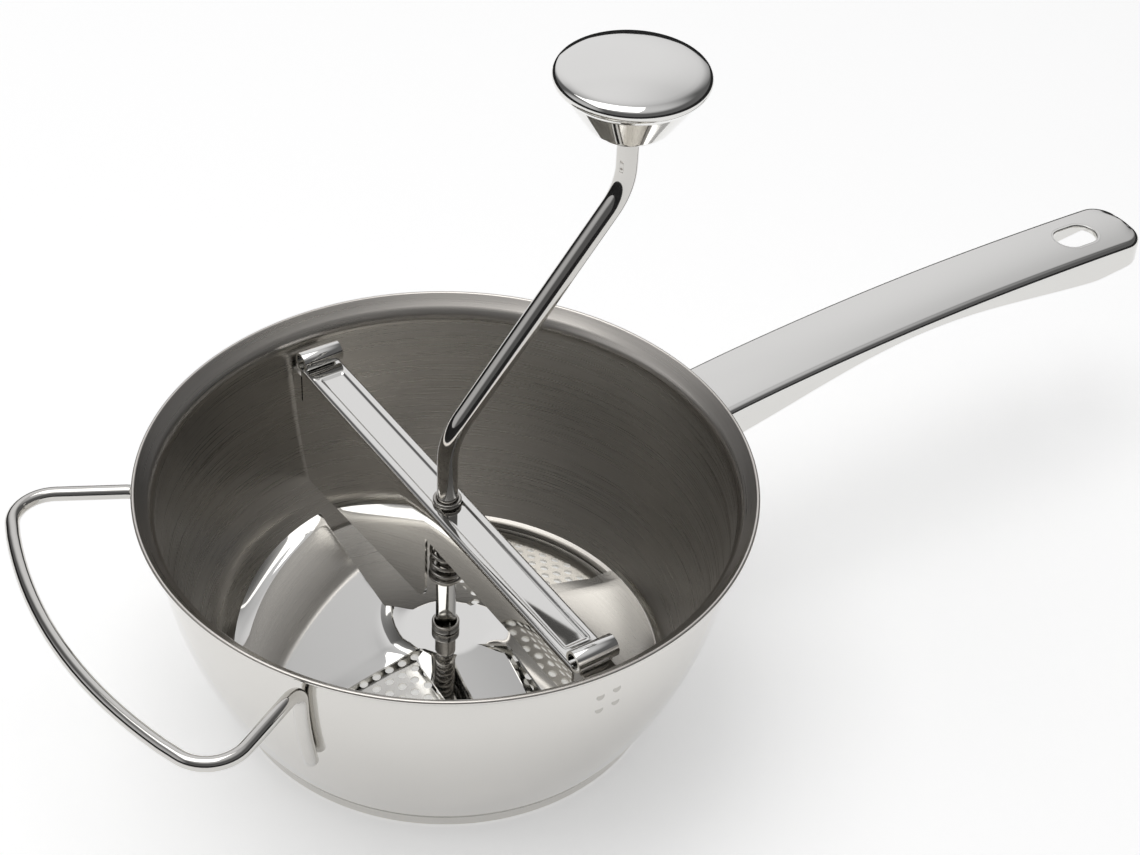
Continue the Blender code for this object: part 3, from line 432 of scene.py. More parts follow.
def make_long_handle():
    """Pressed channel: crowned top, rounded shoulders all round, side flanges shallow at the waist."""
    root, corner, shoulder = WALL_RADIUS + GAP, 10 * MM, 2.6 * MM
    straight = HANDLE_END - corner
    outline = [(root + (straight - root) * k / 56, HANDLE_HALF, 0.0, 1.0) for k in range(57)]
    for a in range(9, 91, 9):
        sine, cosine = math.sin(math.radians(a)), math.cos(math.radians(a))
        outline.append((straight + corner * sine, HANDLE_HALF - corner + corner * cosine, sine, cosine))

    def section(x, y, away_x, away_y):
        """Flange and shoulder at one outline point, from the lower edge up to the flat top."""
        depth = max(handle_depth(x), shoulder + 0.6 * MM)
        points = [(x, y, handle_top(x) - depth), (x, y, handle_top(x) - 0.5 * (depth + shoulder))]
        for a in range(0, 91, 9):
            inset = shoulder * (1 - math.cos(math.radians(a)))
            spot = (x - away_x * inset, y - away_y * inset)
            points.append((*spot, handle_top(spot[0]) - shoulder * (1 - math.sin(math.radians(a)))))
        return points

    rows = []
    shares = (1.0, 0.75, 0.5, 0.25, 0.0)
    for index, (x, y, away_x, away_y) in enumerate(outline):
        side = section(x, y, away_x, away_y)
        last = side[-1]
        across = [(last[0], last[1] * t, last[2] + 0.5 * MM * (1 - t * t)) for t in shares[1:]]
        row = side + across
        row += [(p[0], -p[1], p[2]) for p in reversed(row[:-1])]
        if index == 0:
            row = [(math.sqrt(root ** 2 - p[1] ** 2), p[1], p[2]) for p in row]
        rows.append(row)
    verts, faces = lattice(rows)
    tip = rows[-1][12:-12]
    end_rows = []
    for point in tip:
        column = section(HANDLE_END, point[1], 1.0, 0.0)
        lift = point[2] - column[-1][2]
        end_rows.append([(p[0], p[1], p[2] + lift * max(k - 2, 0) / 10) for k, p in enumerate(column)])
    end_verts, end_faces = lattice(end_rows)
    faces += [tuple(i + len(verts) for i in face) for face in end_faces]
    verts += end_verts
    mesh = bpy.data.meshes.new("long_handle_pressing")
    mesh.from_pydata(verts, [], faces)
    work = bmesh.new()
    work.from_mesh(mesh)
    bmesh.ops.remove_doubles(work, verts=work.verts, dist=2e-6)
    bmesh.ops.recalc_face_normals(work, faces=work.faces)
    top_face = max(work.faces, key=lambda f: abs(f.normal.z) * f.calc_area())
    if top_face.normal.z < 0:
        bmesh.ops.reverse_faces(work, faces=work.faces)
    work.to_mesh(mesh)
    work.free()
    handle = bpy.data.objects.new("long_handle_pressing", mesh)
    bpy.context.scene.collection.objects.link(handle)
    oval = []
    for k in range(48):
        a = 2 * math.pi * (k + 0.5) / 48
        flat = math.copysign(SLOT_FLAT, math.cos(a))
        oval.append((flat + SLOT_HALF * math.cos(a), SLOT_HALF * math.sin(a), math.cos(a), math.sin(a)))
    cut_verts, cut_faces = lattice([[(SLOT_CENTRE + p[0], p[1], z) for p in oval]
                                    for z in (RIM - 12 * MM, RIM + 12 * MM)], close_columns=True)
    cut_faces += [tuple(range(48)), tuple(95 - k for k in range(48))]
    cut_mesh = bpy.data.meshes.new("slot_cutter")
    cut_mesh.from_pydata(cut_verts, [], cut_faces)
    work = bmesh.new()
    work.from_mesh(cut_mesh)
    bmesh.ops.recalc_face_normals(work, faces=work.faces)
    work.to_mesh(cut_mesh)
    work.free()
    cutter = bpy.data.objects.new("slot_cutter", cut_mesh)
    bpy.context.scene.collection.objects.link(cutter)
    wall = handle.modifiers.new("sheet", "SOLIDIFY")
    wall.thickness = 1.2 * MM
    wall.offset = -1.0
    slot = handle.modifiers.new("slot", "BOOLEAN")
    slot.operation = "DIFFERENCE"
    slot.solver = "EXACT"
    slot.use_self = True
    slot.object = cutter
    bpy.context.view_layer.update()
    settle(handle, handle_polish, "bowl", ("long_handle",), sharp=38)
    bpy.data.objects.remove(cutter, do_unlink=True)
    rows = []
    profile = [(1.5, -0.02), (0.9, 0.03), (0.4, -0.02), (0.0, -0.22), (-0.28, -0.65), (-0.34, -1.3), (-0.3, -2.4),
               (0.1, -2.5), (0.2, -1.4), (0.5, -0.8), (1.5, -0.6)]
    for x, y, away_x, away_y in oval:
        row = []
        for r, z in profile:
            spot_x, spot_y = SLOT_CENTRE + x + away_x * r * MM, y + away_y * r * MM
            crown = 0.5 * MM * (1 - (spot_y / (HANDLE_HALF - 2.6 * MM)) ** 2)
            row.append((spot_x, spot_y, handle_top(spot_x) + crown + z * MM))
        rows.append(row)
    verts, faces = lattice(rows, close_rows=True, close_columns=True)
    piece("hanging_slot_collar", verts, faces, handle_polish, "bowl", sharp=60)


def make_wire_handle():
    """Helper handle: one wire, bowed across, bent round two shoulders and down the wall."""
    level, wire, foot_angle = WIRE_LEVEL, 2.48 * MM, math.radians(148)

    def on_wall(height):
        reach = wall_radius(height) + GAP + wire + 0.15 * MM
        return Vector((reach * math.cos(foot_angle), reach * math.sin(foot_angle), height))

    shoulder = Vector((-125.4 * MM, 74.7 * MM, level))
    leg = [on_wall(level - share * 38.5 * MM) for share in (1, 0.83, 0.67, 0.5, 0.33)]
    bow = [Vector((-141.2 * MM + y * y / (2 * 175 * MM), y, level))
           for y in (y * MM for y in (54, 48, 42, 36, 30, 24, 18, 12, 6, 0))]
    bend = rounded([leg[-1], on_wall(level), shoulder, bow[0]], [0, 6.5 * MM, 14 * MM, 0], 14, reach_share=0.7)
    half = leg[:-1] + bend[:-1] + bow
    path = half + [Vector((p.x, -p.y, p.z)) for p in reversed(half[:-1])]
    tube("wire_helper_handle", path, wire, bar_polish, "bowl", ("helper_handle",), 28, 0.35)


# --- sieve disc -----------------------------------------------------------------------------------
def dome(radius):
    sphere = (DISC_FLAT ** 2 + DISC_RISE ** 2) / (2 * DISC_RISE)
    if radius >= DISC_FLAT:
        return DISC_BASE
    return DISC_BASE + DISC_RISE - sphere + math.sqrt(sphere ** 2 - radius ** 2)


def perforate(tree, given):
    """Staggered round holes over a disc, joined to its plain rim and hub, then domed."""
    def math_node(operation, *values):
        return add(tree, "ShaderNodeMath", dict(enumerate(values)), operation=operation).outputs[0]

    pitch = given.outputs["Pitch"]
    count = given.outputs["Rows"]
    span = math_node("MULTIPLY", math_node("SUBTRACT", count, 1.0), pitch)
    rise = math_node("MULTIPLY", span, math.sqrt(0.75))
    net = add(tree, "GeometryNodeMeshGrid", {"Size X": span, "Size Y": rise, "Vertices X": count,
                                             "Vertices Y": count}).outputs[0]
    row = math_node("MODULO", add(tree, "GeometryNodeInputIndex").outputs[0], count)
    shift = math_node("MULTIPLY", math_node("MODULO", row, 2.0), math_node("MULTIPLY", pitch, 0.5))
    offset = add(tree, "ShaderNodeCombineXYZ", {"X": shift}).outputs[0]
    staggered = add(tree, "GeometryNodeSetPosition", {"Geometry": net, "Offset": offset}).outputs[0]
    place = add(tree, "GeometryNodeInputPosition").outputs[0]
    distance = add(tree, "ShaderNodeVectorMath", {0: place}, operation="LENGTH").outputs["Value"]
    inside = math_node("LESS_THAN", distance, given.outputs["Field Radius"])
    outside = math_node("GREATER_THAN", distance, math_node("ADD", given.outputs["Hub Radius"],
                                                            math_node("MULTIPLY", pitch, 0.5)))
    wanted = math_node("MULTIPLY", inside, outside)
    hole = add(tree, "GeometryNodeCurvePrimitiveCircle", {"Resolution": 16,
                                                          "Radius": given.outputs["Hole Radius"]}).outputs[0]
    holes = add(tree, "GeometryNodeInstanceOnPoints", {"Points": staggered, "Selection": wanted,
                                                       "Instance": hole}).outputs[0]
    loose = add(tree, "GeometryNodeRealizeInstances", {0: holes}).outputs[0]
    rim = add(tree, "GeometryNodeCurvePrimitiveCircle", {"Resolution": 160,
                                                         "Radius": given.outputs["Plain Radius"]}).outputs[0]
    hub = add(tree, "GeometryNodeCurvePrimitiveCircle", {"Resolution": 48,
                                                         "Radius": given.outputs["Hub Radius"]}).outputs[0]
    outlines = add(tree, "GeometryNodeJoinGeometry")
    for curve in (hub, rim, loose):
        tree.links.new(curve, outlines.inputs[0])
    field = add(tree, "GeometryNodeFillCurve", {0: outlines.outputs[0]}).outputs[0]
    whole = add(tree, "GeometryNodeJoinGeometry")
    for part in (field, given.outputs["Geometry"]):
        tree.links.new(part, whole.inputs[0])
    welded = add(tree, "GeometryNodeMergeByDistance", {"Geometry": whole.outputs[0], "Distance": 5e-6}).outputs[0]
    sphere = given.outputs["Dome Sphere"]
    square = math_node("MULTIPLY", sphere, sphere)
    fall = math_node("SQRT", math_node("SUBTRACT", square, math_node("MULTIPLY", distance, distance)))
    crown = math_node("ADD", math_node("SUBTRACT", fall, sphere), given.outputs["Dome Top"])
    level = math_node("MAXIMUM", crown, given.outputs["Rim Height"])
    lifted = add(tree, "ShaderNodeCombineXYZ", {"Z": level}).outputs[0]
    return add(tree, "GeometryNodeSetPosition", {"Geometry": welded, "Offset": lifted}).outputs[0]


def make_sieve():
    """Domed sieve disc with its full staggered perforation and a plain rim."""
    sphere = (DISC_FLAT ** 2 + DISC_RISE ** 2) / (2 * DISC_RISE)
    plain, hub = 68.6 * MM, 6.6 * MM
    verts, faces = [], []
    for steps, radii in ((160, (plain, 70.3 * MM, DISC_FLAT - 0.3 * MM, DISC_FLAT + 0.5 * MM, DISC_EDGE)),
                         (48, (PILOT_RADIUS, 5.2 * MM, hub))):
        rows = [[(r * math.cos(2 * math.pi * k / steps), r * math.sin(2 * math.pi * k / steps), 0.0)
                 for k in range(steps)] for r in radii]
        ring_verts, ring_faces = lattice(rows, close_columns=True)
        faces += [tuple(i + len(verts) for i in face) for face in ring_faces]
        verts += ring_verts
    blank = bpy.data.meshes.new("disc_rim")
    blank.from_pydata(verts, [], faces)
    disc = grown("perforated_disc", {"Pitch": HOLE_PITCH, "Rows": 31, "Hole Radius": HOLE_RADIUS,
                                     "Field Radius": FIELD_RADIUS, "Plain Radius": plain, "Hub Radius": hub,
                                     "Dome Sphere": sphere, "Dome Top": DISC_BASE + DISC_RISE,
                                     "Rim Height": DISC_BASE, "Material": punched}, perforate, blank)
    harden(disc)
    work = bmesh.new()
    work.from_mesh(disc.data)
    work.normal_update()
    bmesh.ops.reverse_faces(work, faces=[f for f in work.faces if f.normal.z < 0])
    work.to_mesh(disc.data)
    work.free()
    wall = disc.modifiers.new("sheet", "SOLIDIFY")
    wall.thickness = SHEET
    wall.offset = -1.0
    bpy.context.view_layer.update()
    settle(disc, None, "sieve", ("sieve_disc",), sharp=30)


# --- blade ----------------------------------------------------------------------------------------
def ease(value):
    value = min(max(value, 0.0), 1.0)
    return value * value * (3 - 2 * value)


def wing_height(x, y, share):
    """Top of a wing; share is the part of the trailing band already crossed."""
    plane = BOSS_TOP + 4.4 * MM + (15.7 * MM * x - 1.9 * MM * y) / BLADE_RADIUS
    radius = math.hypot(x, y)
    along = min(max((math.degrees(math.atan2(y, x)) - 93.0) / 60.0, 0.0), 1.0)
    border = min(max((radius - BLADE_RADIUS + 6.0 * MM) / (6.0 * MM), 0.0), 1.0)
    plane += 3.4 * MM * math.sin(math.pi * along) * border * (0.4 + 0.6 * border)
    low = max(dome(radius) + 1.7 * MM, FOOT_HEIGHT + SHEET) + 1.0 * MM
    plane += (low - plane) * share
    return BOSS_TOP + (plane - BOSS_TOP) * ease((radius - BOSS_RADIUS) / (12.0 * MM))


def make_blade():
    """Two wings from one pressing; each has a raised edge, a turned-up border and a flat trailing band."""
    fine = [BOSS_RADIUS + 12.0 * MM * k / 10 for k in range(10)]
    fine += [26.0 * MM + 42.6 * MM * k / 14 for k in range(14)]
    fine += [68.6 * MM + 6.0 * MM * k / 6 for k in range(7)]
    verts, faces = [], []

    def ridge(radius):
        share = (radius - BOSS_RADIUS) / (BLADE_RADIUS - BOSS_RADIUS)
        offset = (14.5 - 5.5 * share) * MM
        return math.pi / 2 + math.asin(min(offset / radius, 1.0) * min(0.35 + share * 4, 1.0))

    for turn in (0.0, math.pi):
        tongue, wing = [], []
        for radius in fine:
            lead = math.acos(min(17.0 * MM / radius, 0.90))
            crest = ridge(radius)
            fold = math.pi - math.asin(min(2.0 * MM / radius, 1.0))
            trail = math.pi + math.asin(4.5 * MM / radius)
            low = BOSS_TOP - 10.7 * MM * (radius - BOSS_RADIUS) / (BLADE_RADIUS - BOSS_RADIUS)
            angles = [lead + (crest - lead) * k / 10 for k in range(11)]
            tongue.append([(radius * math.cos(a + turn), radius * math.sin(a + turn), low) for a in angles])
            row = []
            steps = [(crest + (fold - crest) * k / 22, 0.0) for k in range(23)]
            steps += [(fold + (trail - fold) * k / 6, k / 6) for k in range(1, 7)]
            for a, share in steps:
                z = wing_height(radius * math.cos(a), radius * math.sin(a), share)
                row.append((radius * math.cos(a + turn), radius * math.sin(a + turn), z))
            wing.append(row)
        for rows in (tongue, wing):
            grid_verts, grid_faces = lattice(rows)
            faces += [tuple(i + len(verts) for i in face) for face in grid_faces]
            verts += grid_verts
        inner = tongue[0][:-1] + wing[0]
        rings = []
        for share in (1.0, 0.86, 0.7, 0.5, 0.34, 0.2):
            lift = 0.9 * MM * (1 - share) * (share > 0.2 or 1)
            rings.append([(v[0] * share, v[1] * share, BOSS_TOP + 0.0 * lift) for v in inner])
        grid_verts, grid_faces = lattice(rings)
        start = len(verts)
        faces += [tuple(i + start for i in face) for face in grid_faces]
        verts += grid_verts
        width = len(inner)
        ends = [(start + k * width, start + (k + 1) * width - 1) for k in range(len(rings))]
        if turn == 0.0:
            first = ends
        else:
            for k in range(len(rings) - 1):
                faces.append((first[k][1], first[k + 1][1], ends[k + 1][0], ends[k][0]))
                faces.append((ends[k][1], ends[k + 1][1], first[k + 1][0], first[k][0]))
    mesh = bpy.data.meshes.new("blade_pressing")
    mesh.from_pydata(verts, [], faces)
    work = bmesh.new()
    work.from_mesh(mesh)
    bmesh.ops.remove_doubles(work, verts=work.verts, dist=1e-6)
    work.normal_update()
    bmesh.ops.reverse_faces(work, faces=[f for f in work.faces if f.normal.z < 0])
    work.to_mesh(mesh)
    work.free()
    blade = bpy.data.objects.new("blade_pressing", mesh)
    bpy.context.scene.collection.objects.link(blade)
    wall = blade.modifiers.new("sheet", "SOLIDIFY")
    wall.thickness = 1.0 * MM
    wall.offset = -1.0
    bpy.context.view_layer.update()
    settle(blade, mirror, "rotor", ("blade",), sharp=24)


# --- shaft, rings and spring ----------------------------------------------------------------------
def make_crank():
    """Round bar: upright through the bridge, slanting arm, upright pin under the knob."""
    low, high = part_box("crank")
    corners = [(0, 0, low.z), (0, 0, CRANK_KNEE), (CRANK_REACH, 0, CRANK_ELBOW), (CRANK_REACH, 0, high.z)]
    path = rounded(corners, 24 * MM, 18)
    tube("crank_bar", path, ROD_RADIUS, bar_polish, "rotor", ("crank",), 36, 0.12)


def make_ring(node, name, material, body, edge, centre=(0.0, 0.0), bore=ROD_RADIUS + 0.12 * MM):
    """Turned ring in place of a plain one, its edges rounded."""
    low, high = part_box(node)
    outer = (high.x - low.x) / 2
    profile = rounded([(bore, high.z), (outer, high.z), (outer, low.z), (bore, low.z)], edge, 5, closed=True)
    turned(name, [tuple(p)[:2] for p in profile], material, body, (node,), 56, centre)


def coil(tree, given):
    """Compression spring: a helix whose pitch closes up at both ends."""
    wire = given.outputs["Wire Radius"]
    height = given.outputs["Height"]
    helix = add(tree, "GeometryNodeCurveSpiral", {"Resolution": 40, "Rotations": given.outputs["Turns"],
                                                  "Start Radius": given.outputs["Coil Radius"],
                                                  "End Radius": given.outputs["Coil Radius"],
                                                  "Height": height}).outputs[0]
    place = add(tree, "ShaderNodeSeparateXYZ", {0: add(tree, "GeometryNodeInputPosition").outputs[0]})
    eased = add(tree, "ShaderNodeMapRange", {"Value": place.outputs["Z"], "From Max": height, "To Max": height},
                interpolation_type="SMOOTHSTEP").outputs[0]
    level = add(tree, "ShaderNodeMix", {0: 0.45, 2: place.outputs["Z"], 3: eased}, data_type="FLOAT").outputs[0]
    raised = add(tree, "ShaderNodeMath", {0: level, 1: given.outputs["Bottom"]}, operation="ADD").outputs[0]
    spot = add(tree, "ShaderNodeCombineXYZ", {"X": place.outputs["X"], "Y": place.outputs["Y"], "Z": raised})
    shaped = add(tree, "GeometryNodeSetPosition", {"Geometry": helix, "Position": spot.outputs[0]}).outputs[0]
    section = add(tree, "GeometryNodeCurvePrimitiveCircle", {"Resolution": 12, "Radius": wire}).outputs[0]
    return add(tree, "GeometryNodeCurveToMesh", {"Curve": shaped, "Profile Curve": section,
                                                 "Fill Caps": True}).outputs[0]


def make_spring():
    low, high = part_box("spring")
    wire = 0.6 * MM
    spring = grown("pressure_spring", {"Wire Radius": wire, "Coil Radius": 5.3 * MM, "Turns": 7.0,
                                       "Bottom": low.z + wire, "Height": high.z - low.z - 2 * wire,
                                       "Material": spring_wire}, coil)
    settle(harden(spring), None, "bridge", ("spring",), sharp=60)


def make_pilot():
    low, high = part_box("pilot_rivet")
    head = BOSS_TOP - 1.3 * MM
    profile = rounded([(0.0, high.z), (2.3 * MM, high.z), (2.3 * MM, head), (4.6 * MM, head),
                       (4.6 * MM, head - 0.9 * MM), (2.3 * MM, head - 0.9 * MM), (2.3 * MM, low.z + 1.0 * MM),
                       (1.4 * MM, low.z), (0.0, low.z)], 0.3 * MM, 3)
    turned("pilot_rivet_turned", [tuple(p)[:2] for p in profile], turned_steel, "rotor",
           ("pilot_rivet",), 40, closed=False)


# --- bridge ---------------------------------------------------------------------------------------
def make_bridge():
    """Inverted channel with a recessed top panel and a rounded shoulder along each side."""
    half, end, wall, shoulder = BRIDGE_WIDTH / 2, BRIDGE_HALF - 3.8 * MM, 1.0 * MM, 1.7 * MM
    depth, panel, recess = 14.3 * MM, 4.3 * MM, 0.5 * MM
    across = [(-half, -depth), (-half, -0.5 * depth)]
    across += [(-half + shoulder * (1 - math.cos(math.radians(a))), -shoulder * (1 - math.sin(math.radians(a))))
               for a in range(0, 91, 10)]
    inner = [-5.4, -5.0, -4.7, -4.4, -4.1, -3.7, -3.3, -2.0, -0.7, 0.7, 2.0, 3.3, 3.7, 4.1, 4.4, 4.7, 5.0, 5.4]
    across += [(x * MM, 0.0) for x in inner]
    across += [(-x, z) for x, z in reversed(across[:12])]
    limit = end - 9 * MM
    along = [-end, -end + 4 * MM]
    along += [-limit - 1.2 * MM + 0.3 * MM * k for k in range(9)]
    along += [(-limit + 4 * MM) + (2 * limit - 8 * MM) * k / 40 for k in range(41)]
    along += [limit - 1.2 * MM + 0.3 * MM * k for k in range(9)]
    along += [end - 4 * MM, end]
    rows = []
    for y in along:
        row = []
        for x, z in across:
            sink = ease((panel + 0.5 * MM - abs(x)) / (1.0 * MM)) * ease((limit + 0.6 * MM - abs(y)) / (1.6 * MM))
            row.append((x, y, BRIDGE_TOP + z - (recess * sink if z == 0.0 else 0.0)))
        rows.append(row)
    verts, faces = lattice(rows)
    mesh = bpy.data.meshes.new("bridge_channel")
    mesh.from_pydata(verts, [], faces)
    work = bmesh.new()
    work.from_mesh(mesh)
    work.faces.ensure_lookup_table()
    work.normal_update()
    if work.faces[len(across) // 2].normal.z < 0:
        bmesh.ops.reverse_faces(work, faces=work.faces)
    work.to_mesh(mesh)
    work.free()
    channel = bpy.data.objects.new("bridge_channel", mesh)
    bpy.context.scene.collection.objects.link(channel)
    shell = channel.modifiers.new("sheet", "SOLIDIFY")
    shell.thickness = wall
    shell.offset = -1.0
    shell.use_even_offset = True
    cut_verts, cut_faces = lattice([[((ROD_RADIUS + 0.15 * MM) * math.cos(2 * math.pi * k / 48),
                                      (ROD_RADIUS + 0.15 * MM) * math.sin(2 * math.pi * k / 48), z)
                                     for k in range(48)] for z in (BRIDGE_TOP - 4 * MM, BRIDGE_TOP + 4 * MM)],
                                   close_columns=True)
    cut_faces += [tuple(range(48)), tuple(95 - k for k in range(48))]
    cut_mesh = bpy.data.meshes.new("shaft_cutter")
    cut_mesh.from_pydata(cut_verts, [], cut_faces)
    work = bmesh.new()
    work.from_mesh(cut_mesh)
    bmesh.ops.recalc_face_normals(work, faces=work.faces)
    work.to_mesh(cut_mesh)
    work.free()
    cutter = bpy.data.objects.new("shaft_cutter", cut_mesh)
    bpy.context.scene.collection.objects.link(cutter)
    hole = channel.modifiers.new("hole", "BOOLEAN")
    hole.operation = "DIFFERENCE"
    hole.solver = "EXACT"
    hole.object = cutter
    bpy.context.view_layer.update()
    settle(channel, mirror, "bridge", ("bridge",), sharp=35)
    bpy.data.objects.remove(cutter, do_unlink=True)


def make_baffle():
    """Deep side wall of the bridge on the far half, which scrapes food off the wall."""
    half, low = BRIDGE_WIDTH / 2, BRIDGE_TOP - 14.3 * MM
    inner_low, outer_low, corner = BOSS_TOP + 15.1 * MM, BOSS_TOP + 9.3 * MM, 6.0 * MM
    outline = [(1.5 * MM, low), (1.5 * MM, inner_low + corner)]
    outline += [(1.5 * MM + corner - corner * math.cos(math.radians(a)),
                 inner_low + corner - corner * math.sin(math.radians(a))) for a in range(10, 90, 10)]
    outline.append((1.5 * MM + corner, inner_low))
    for k in range(13):
        height = outer_low + (low + 3 * MM - outer_low) * k / 12
        reach = wall_radius(height) - SHEET - 2.5 * MM
        outline.append((math.sqrt(reach ** 2 - half ** 2), height))
    outline.append((outline[-1][0], BRIDGE_TOP - 3 * MM))
    outline.append((BRIDGE_HALF - 4.6 * MM, BRIDGE_TOP - 3 * MM))
    outline.append((BRIDGE_HALF - 4.6 * MM, low))
    rows = [[(x, y, z) for y, z in outline] for x in (-half, -half + 0.3 * MM, -half + 0.7 * MM, -half + 1 * MM)]
    verts, faces = lattice(rows, close_columns=True)
    count = len(outline)
    faces += [tuple(range(count)), tuple(4 * count - 1 - k for k in range(count))]
    piece("bridge_baffle", verts, faces, mirror, "bridge", sharp=30)


def make_rolls():
    """Each end of the bridge is curled up and back into a roll, open at its sides."""
    half = BRIDGE_WIDTH / 2 - 0.1 * MM
    outer, sheet = 3.8 * MM, 1.0 * MM
    for name, side in (("far", 1), ("near", -1)):
        centre = (BRIDGE_HALF - outer, BRIDGE_TOP - sheet + outer + 0.05 * MM)
        arc = [math.radians(-104 + 312 * k / 36) for k in range(37)]
        ring = [(centre[0] + outer * math.cos(a), centre[1] + outer * math.sin(a)) for a in arc]
        last = arc[-1]
        tip = [(centre[0] + (outer - sheet / 2 + sheet / 2 * math.cos(b)) * math.cos(last) -
                sheet / 2 * math.sin(b) * math.sin(last),
                centre[1] + (outer - sheet / 2 + sheet / 2 * math.cos(b)) * math.sin(last) +
                sheet / 2 * math.sin(b) * math.cos(last)) for b in (math.radians(d) for d in (36, 72, 108, 144))]
        ring += tip
        ring += [(centre[0] + (outer - sheet) * math.cos(a), centre[1] + (outer - sheet) * math.sin(a))
                 for a in reversed(arc)]
        inset = (0.12 * MM, 0.0)
        stations = [-half, -half + inset[0], half - inset[0], half]
        middle = (centre[0], centre[1])
        rows = []
        for index, x in enumerate(stations):
            shrink = 1.0 if index in (1, 2) else 0.985
            rows.append([(x, side * (middle[0] + (p[0] - middle[0]) * shrink),
                          middle[1] + (p[1] - middle[1]) * shrink) for p in ring])
        verts, faces = lattice(rows, close_columns=True)
        count = len(ring)
        faces += [tuple(range(count)), tuple(4 * count - 1 - k for k in range(count))]
        piece("bridge_roll_" + name, verts, faces, mirror, "bridge", sharp=40)


# --- knob -----------------------------------------------------------------------------------------
def make_knob():
    """Low domed cap with a conical skirt, over a small round cup and a sleeve on the pin."""
    top, base, neck = KNOB_TOP, KNOB_BASE, KNOB_BASE + 4 * MM
    edge, sheet = KNOB_RADIUS, 0.8 * MM
    sphere = (22.8 ** 2 + 2.4 ** 2) / (2 * 2.4) * MM
    crown = [(r * MM, top - sphere + math.sqrt(sphere ** 2 - (r * MM) ** 2)) for r in
             (0, 3, 6, 9, 12, 15, 18, 20, 21.6)]
    rim = [(edge - 3.0 * MM + 3.0 * MM * math.cos(math.radians(a)), top - 5.2 * MM + 2.8 * MM * math.sin(math.radians(a)))
           for a in range(60, -56, -10)]
    skirt = rounded([rim[-1], (0.90 * edge, top - 8.9 * MM), (KNOB_NECK, neck)], [0, 4 * MM, 0], 6)
    under = [(KNOB_NECK - sheet, neck), (0.90 * edge - sheet, top - 9.5 * MM), (edge - 2.2 * MM, top - 5.5 * MM),
             (edge - 2.8 * MM, top - 4.2 * MM), (0.72 * edge, top - 2.6 * MM), (0.0, top - 1.1 * MM)]
    profile = [tuple(p)[:2] for p in crown + rim + skirt[1:] + under]
    turned("knob_cap_polished", profile, mirror, "knob", ("knob_cap",), 112,
           (CRANK_REACH, 0.0), closed=False, sharp=40)
    wall = KNOB_NECK - sheet - 0.1 * MM
    bore = ROD_RADIUS + 0.15 * MM
    cup = rounded([(wall, neck + 1.6 * MM), (wall, neck), (0.86 * wall, base + 1.4 * MM), (0.5 * wall, base),
                   (bore, base), (bore, base + sheet), (0.5 * wall, base + sheet),
                   (0.8 * wall, base + 2.0 * MM), (wall - sheet, neck), (wall - sheet, neck + 1.6 * MM)],
                  [0.2 * MM, 2 * MM, 2.5 * MM, 3 * MM, 0.25 * MM, 0.25 * MM, 2 * MM, 2 * MM, 1 * MM, 0.2 * MM],
                  5, closed=True)
    turned("knob_cup_polished", [tuple(p)[:2] for p in cup], mirror, "knob", ("knob_cup",), 80,
           (CRANK_REACH, 0.0))


# --- studio ---------------------------------------------------------------------------------------
def make_floor():
    mesh = bpy.data.meshes.new("floor")
    mesh.from_pydata([(-6, -6, -0.0004), (6, -6, -0.0004), (6, 6, -0.0004), (-6, 6, -0.0004)], [], [(0, 1, 2, 3)])
    floor = bpy.data.objects.new("floor", mesh)
    bpy.context.scene.collection.objects.link(floor)
    paper = bpy.data.materials.new("white_backdrop_paper")
    paper.use_nodes = True
    shader = paper.node_tree.nodes["Principled BSDF"]
    shader.inputs["Base Color"].default_value = colour("#F7F7F6")
    shader.inputs["Roughness"].default_value = 0.9
    shader.inputs["Specular IOR Level"].default_value = 0.1
    shader.inputs["Emission Color"].default_value = colour("#FFFFFF")
    shader.inputs["Emission Strength"].default_value = 0.38
    mesh.materials.append(paper)


def softbox(name, place, target, width, height, power):
    light = bpy.data.lights.new(name, "AREA")
    light.shape = "RECTANGLE"
    light.size, light.size_y, light.energy = width, height, power
    obj = bpy.data.objects.new(name, light)
    bpy.context.scene.collection.objects.link(obj)
    obj.location = place
    obj.rotation_mode = "QUATERNION"
    obj.rotation_quaternion = (Vector(target) - Vector(place)).to_track_quat("-Z", "Y")
    return obj


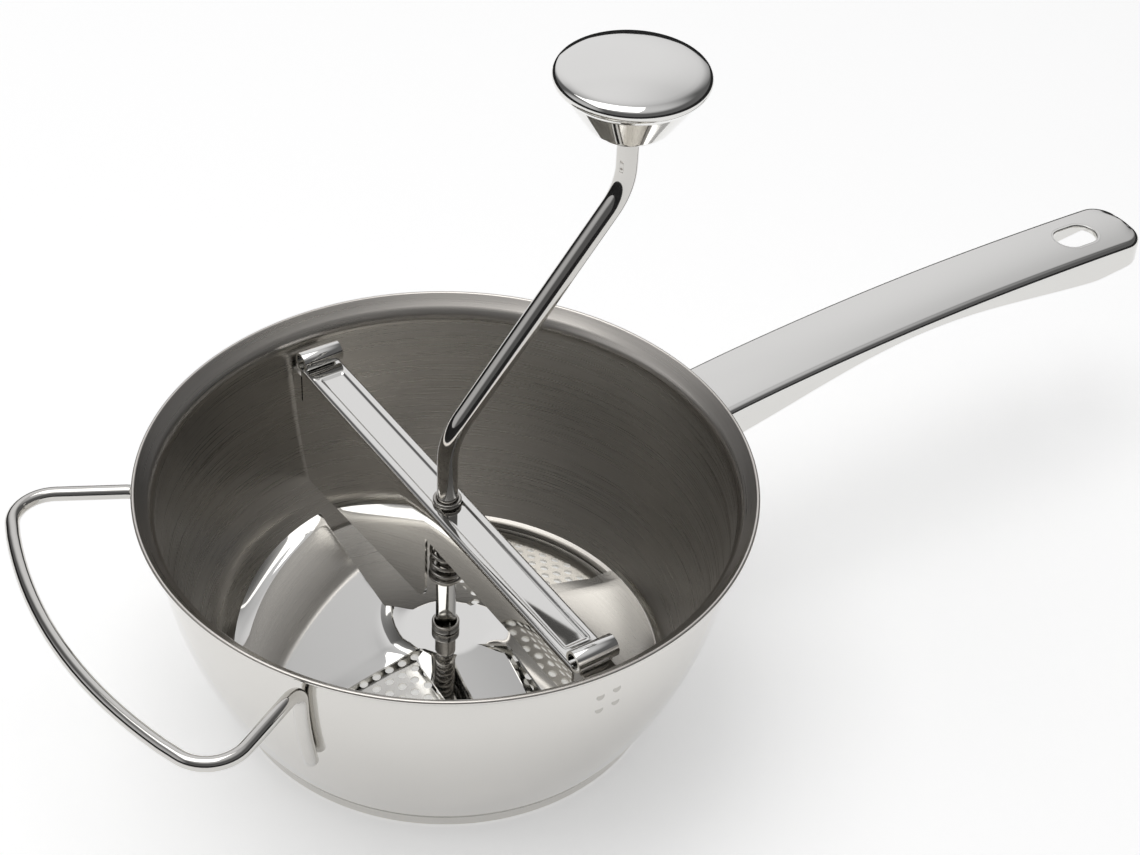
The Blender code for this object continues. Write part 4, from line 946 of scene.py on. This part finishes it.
def make_studio():
    """Light tent: bright behind and overhead, dark towards the camera and low down all round."""
    world = bpy.data.worlds.new("studio")
    world.use_nodes = True
    tree = world.node_tree
    aim = add(tree, "ShaderNodeTexCoord").outputs["Generated"]
    total = 0.13
    for direction, inner, outer, strength in (((0.40, 0.80, 0.45), 0.985, 0.76, 0.78),
                                              ((0.0, 0.0, 1.0), 0.97, 0.66, 0.55),
                                              ((-0.92, 0.30, 0.26), 0.97, 0.80, 0.45)):
        facing = add(tree, "ShaderNodeVectorMath", {0: aim, 1: direction}, operation="DOT_PRODUCT").outputs["Value"]
        glow = add(tree, "ShaderNodeMapRange", {"Value": facing, "From Min": outer, "From Max": inner,
                                                "To Max": strength}, interpolation_type="SMOOTHSTEP").outputs[0]
        total = add(tree, "ShaderNodeMath", {0: total, 1: glow}, operation="ADD").outputs[0]
    tree.links.new(total, tree.nodes["Background"].inputs["Strength"])
    tree.nodes["Background"].inputs["Color"].default_value = colour("#FDFDFF")
    bpy.context.scene.world = world
    softbox("top_softbox", (-0.3, 0.2, 1.7), (0.0, 0.0, 0.05), 1.3, 1.3, 9)
    flag = bpy.data.materials.new("black_studio_flag")
    flag.use_nodes = True
    flag.node_tree.nodes["Principled BSDF"].inputs["Base Color"].default_value = colour("#2A2A2B")
    flag.node_tree.nodes["Principled BSDF"].inputs["Roughness"].default_value = 0.9
    steps = 48
    rows = [[(r * math.cos(2 * math.pi * k / steps), r * math.sin(2 * math.pi * k / steps), z)
             for k in range(steps)] for r, z in ((0.75, 0.004), (1.6, 0.004), (1.6, 0.5))]
    verts, faces = lattice(rows, close_columns=True)
    mesh = bpy.data.meshes.new("flag_ring")
    mesh.from_pydata(verts, [], faces)
    mesh.materials.append(flag)
    ring = bpy.data.objects.new("flag_ring", mesh)
    bpy.context.scene.collection.objects.link(ring)
    ring.visible_camera = False
    ring.visible_diffuse = False
    ring.visible_shadow = False


def make_camera():
    data = bpy.data.cameras.new("camera")
    data.sensor_width = 36.0
    data.lens = 78.95
    data.clip_end = 50.0
    camera = bpy.data.objects.new("camera", data)
    bpy.context.scene.collection.objects.link(camera)
    azimuth, elevation, roll = (math.radians(v) for v in (-35.437, 39.495, 3.06))
    back = Vector((math.sin(azimuth) * math.cos(elevation), -math.cos(azimuth) * math.cos(elevation),
                   math.sin(elevation)))
    right = Vector((math.cos(azimuth), math.sin(azimuth), 0.0))
    up = back.cross(right)
    across = right * math.cos(roll) + up * math.sin(roll)
    upright = up * math.cos(roll) - right * math.sin(roll)
    turn = Matrix((across, upright, back)).transposed()
    camera.matrix_world = Matrix.Translation((-0.3351, -0.5400, 0.6357)) @ turn.to_4x4()
    bpy.context.scene.camera = camera


make_camera()
make_floor()
make_studio()
make_bowl()
make_weld_marks()
make_brackets()
make_long_handle()
make_wire_handle()
make_sieve()
make_blade()
make_pilot()
make_crank()
make_ring("blade_collar", "blade_collar_turned", turned_steel, "rotor", 0.5 * MM)
make_ring("crank_clip", "crank_clip_ring", spring_wire, "rotor", 0.35 * MM)
make_ring("upper_spring_washer", "upper_washer", turned_steel, "bridge", 0.25 * MM)
make_ring("lower_spring_seat", "lower_seat", turned_steel, "spring_seat", 0.25 * MM)
make_ring("spring_stop_ring", "stop_ring", spring_wire, "rotor", 0.3 * MM)
make_spring()
make_bridge()
make_baffle()
make_rolls()
make_knob()
for node_name, finish in (("knob_sleeve", turned_steel), ("knob_rivet", turned_steel)):
    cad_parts[node_name].data.materials.clear()
    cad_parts[node_name].data.materials.append(finish)

bpy.context.scene.view_settings.view_transform = "Standard"
bpy.context.view_layer.update()
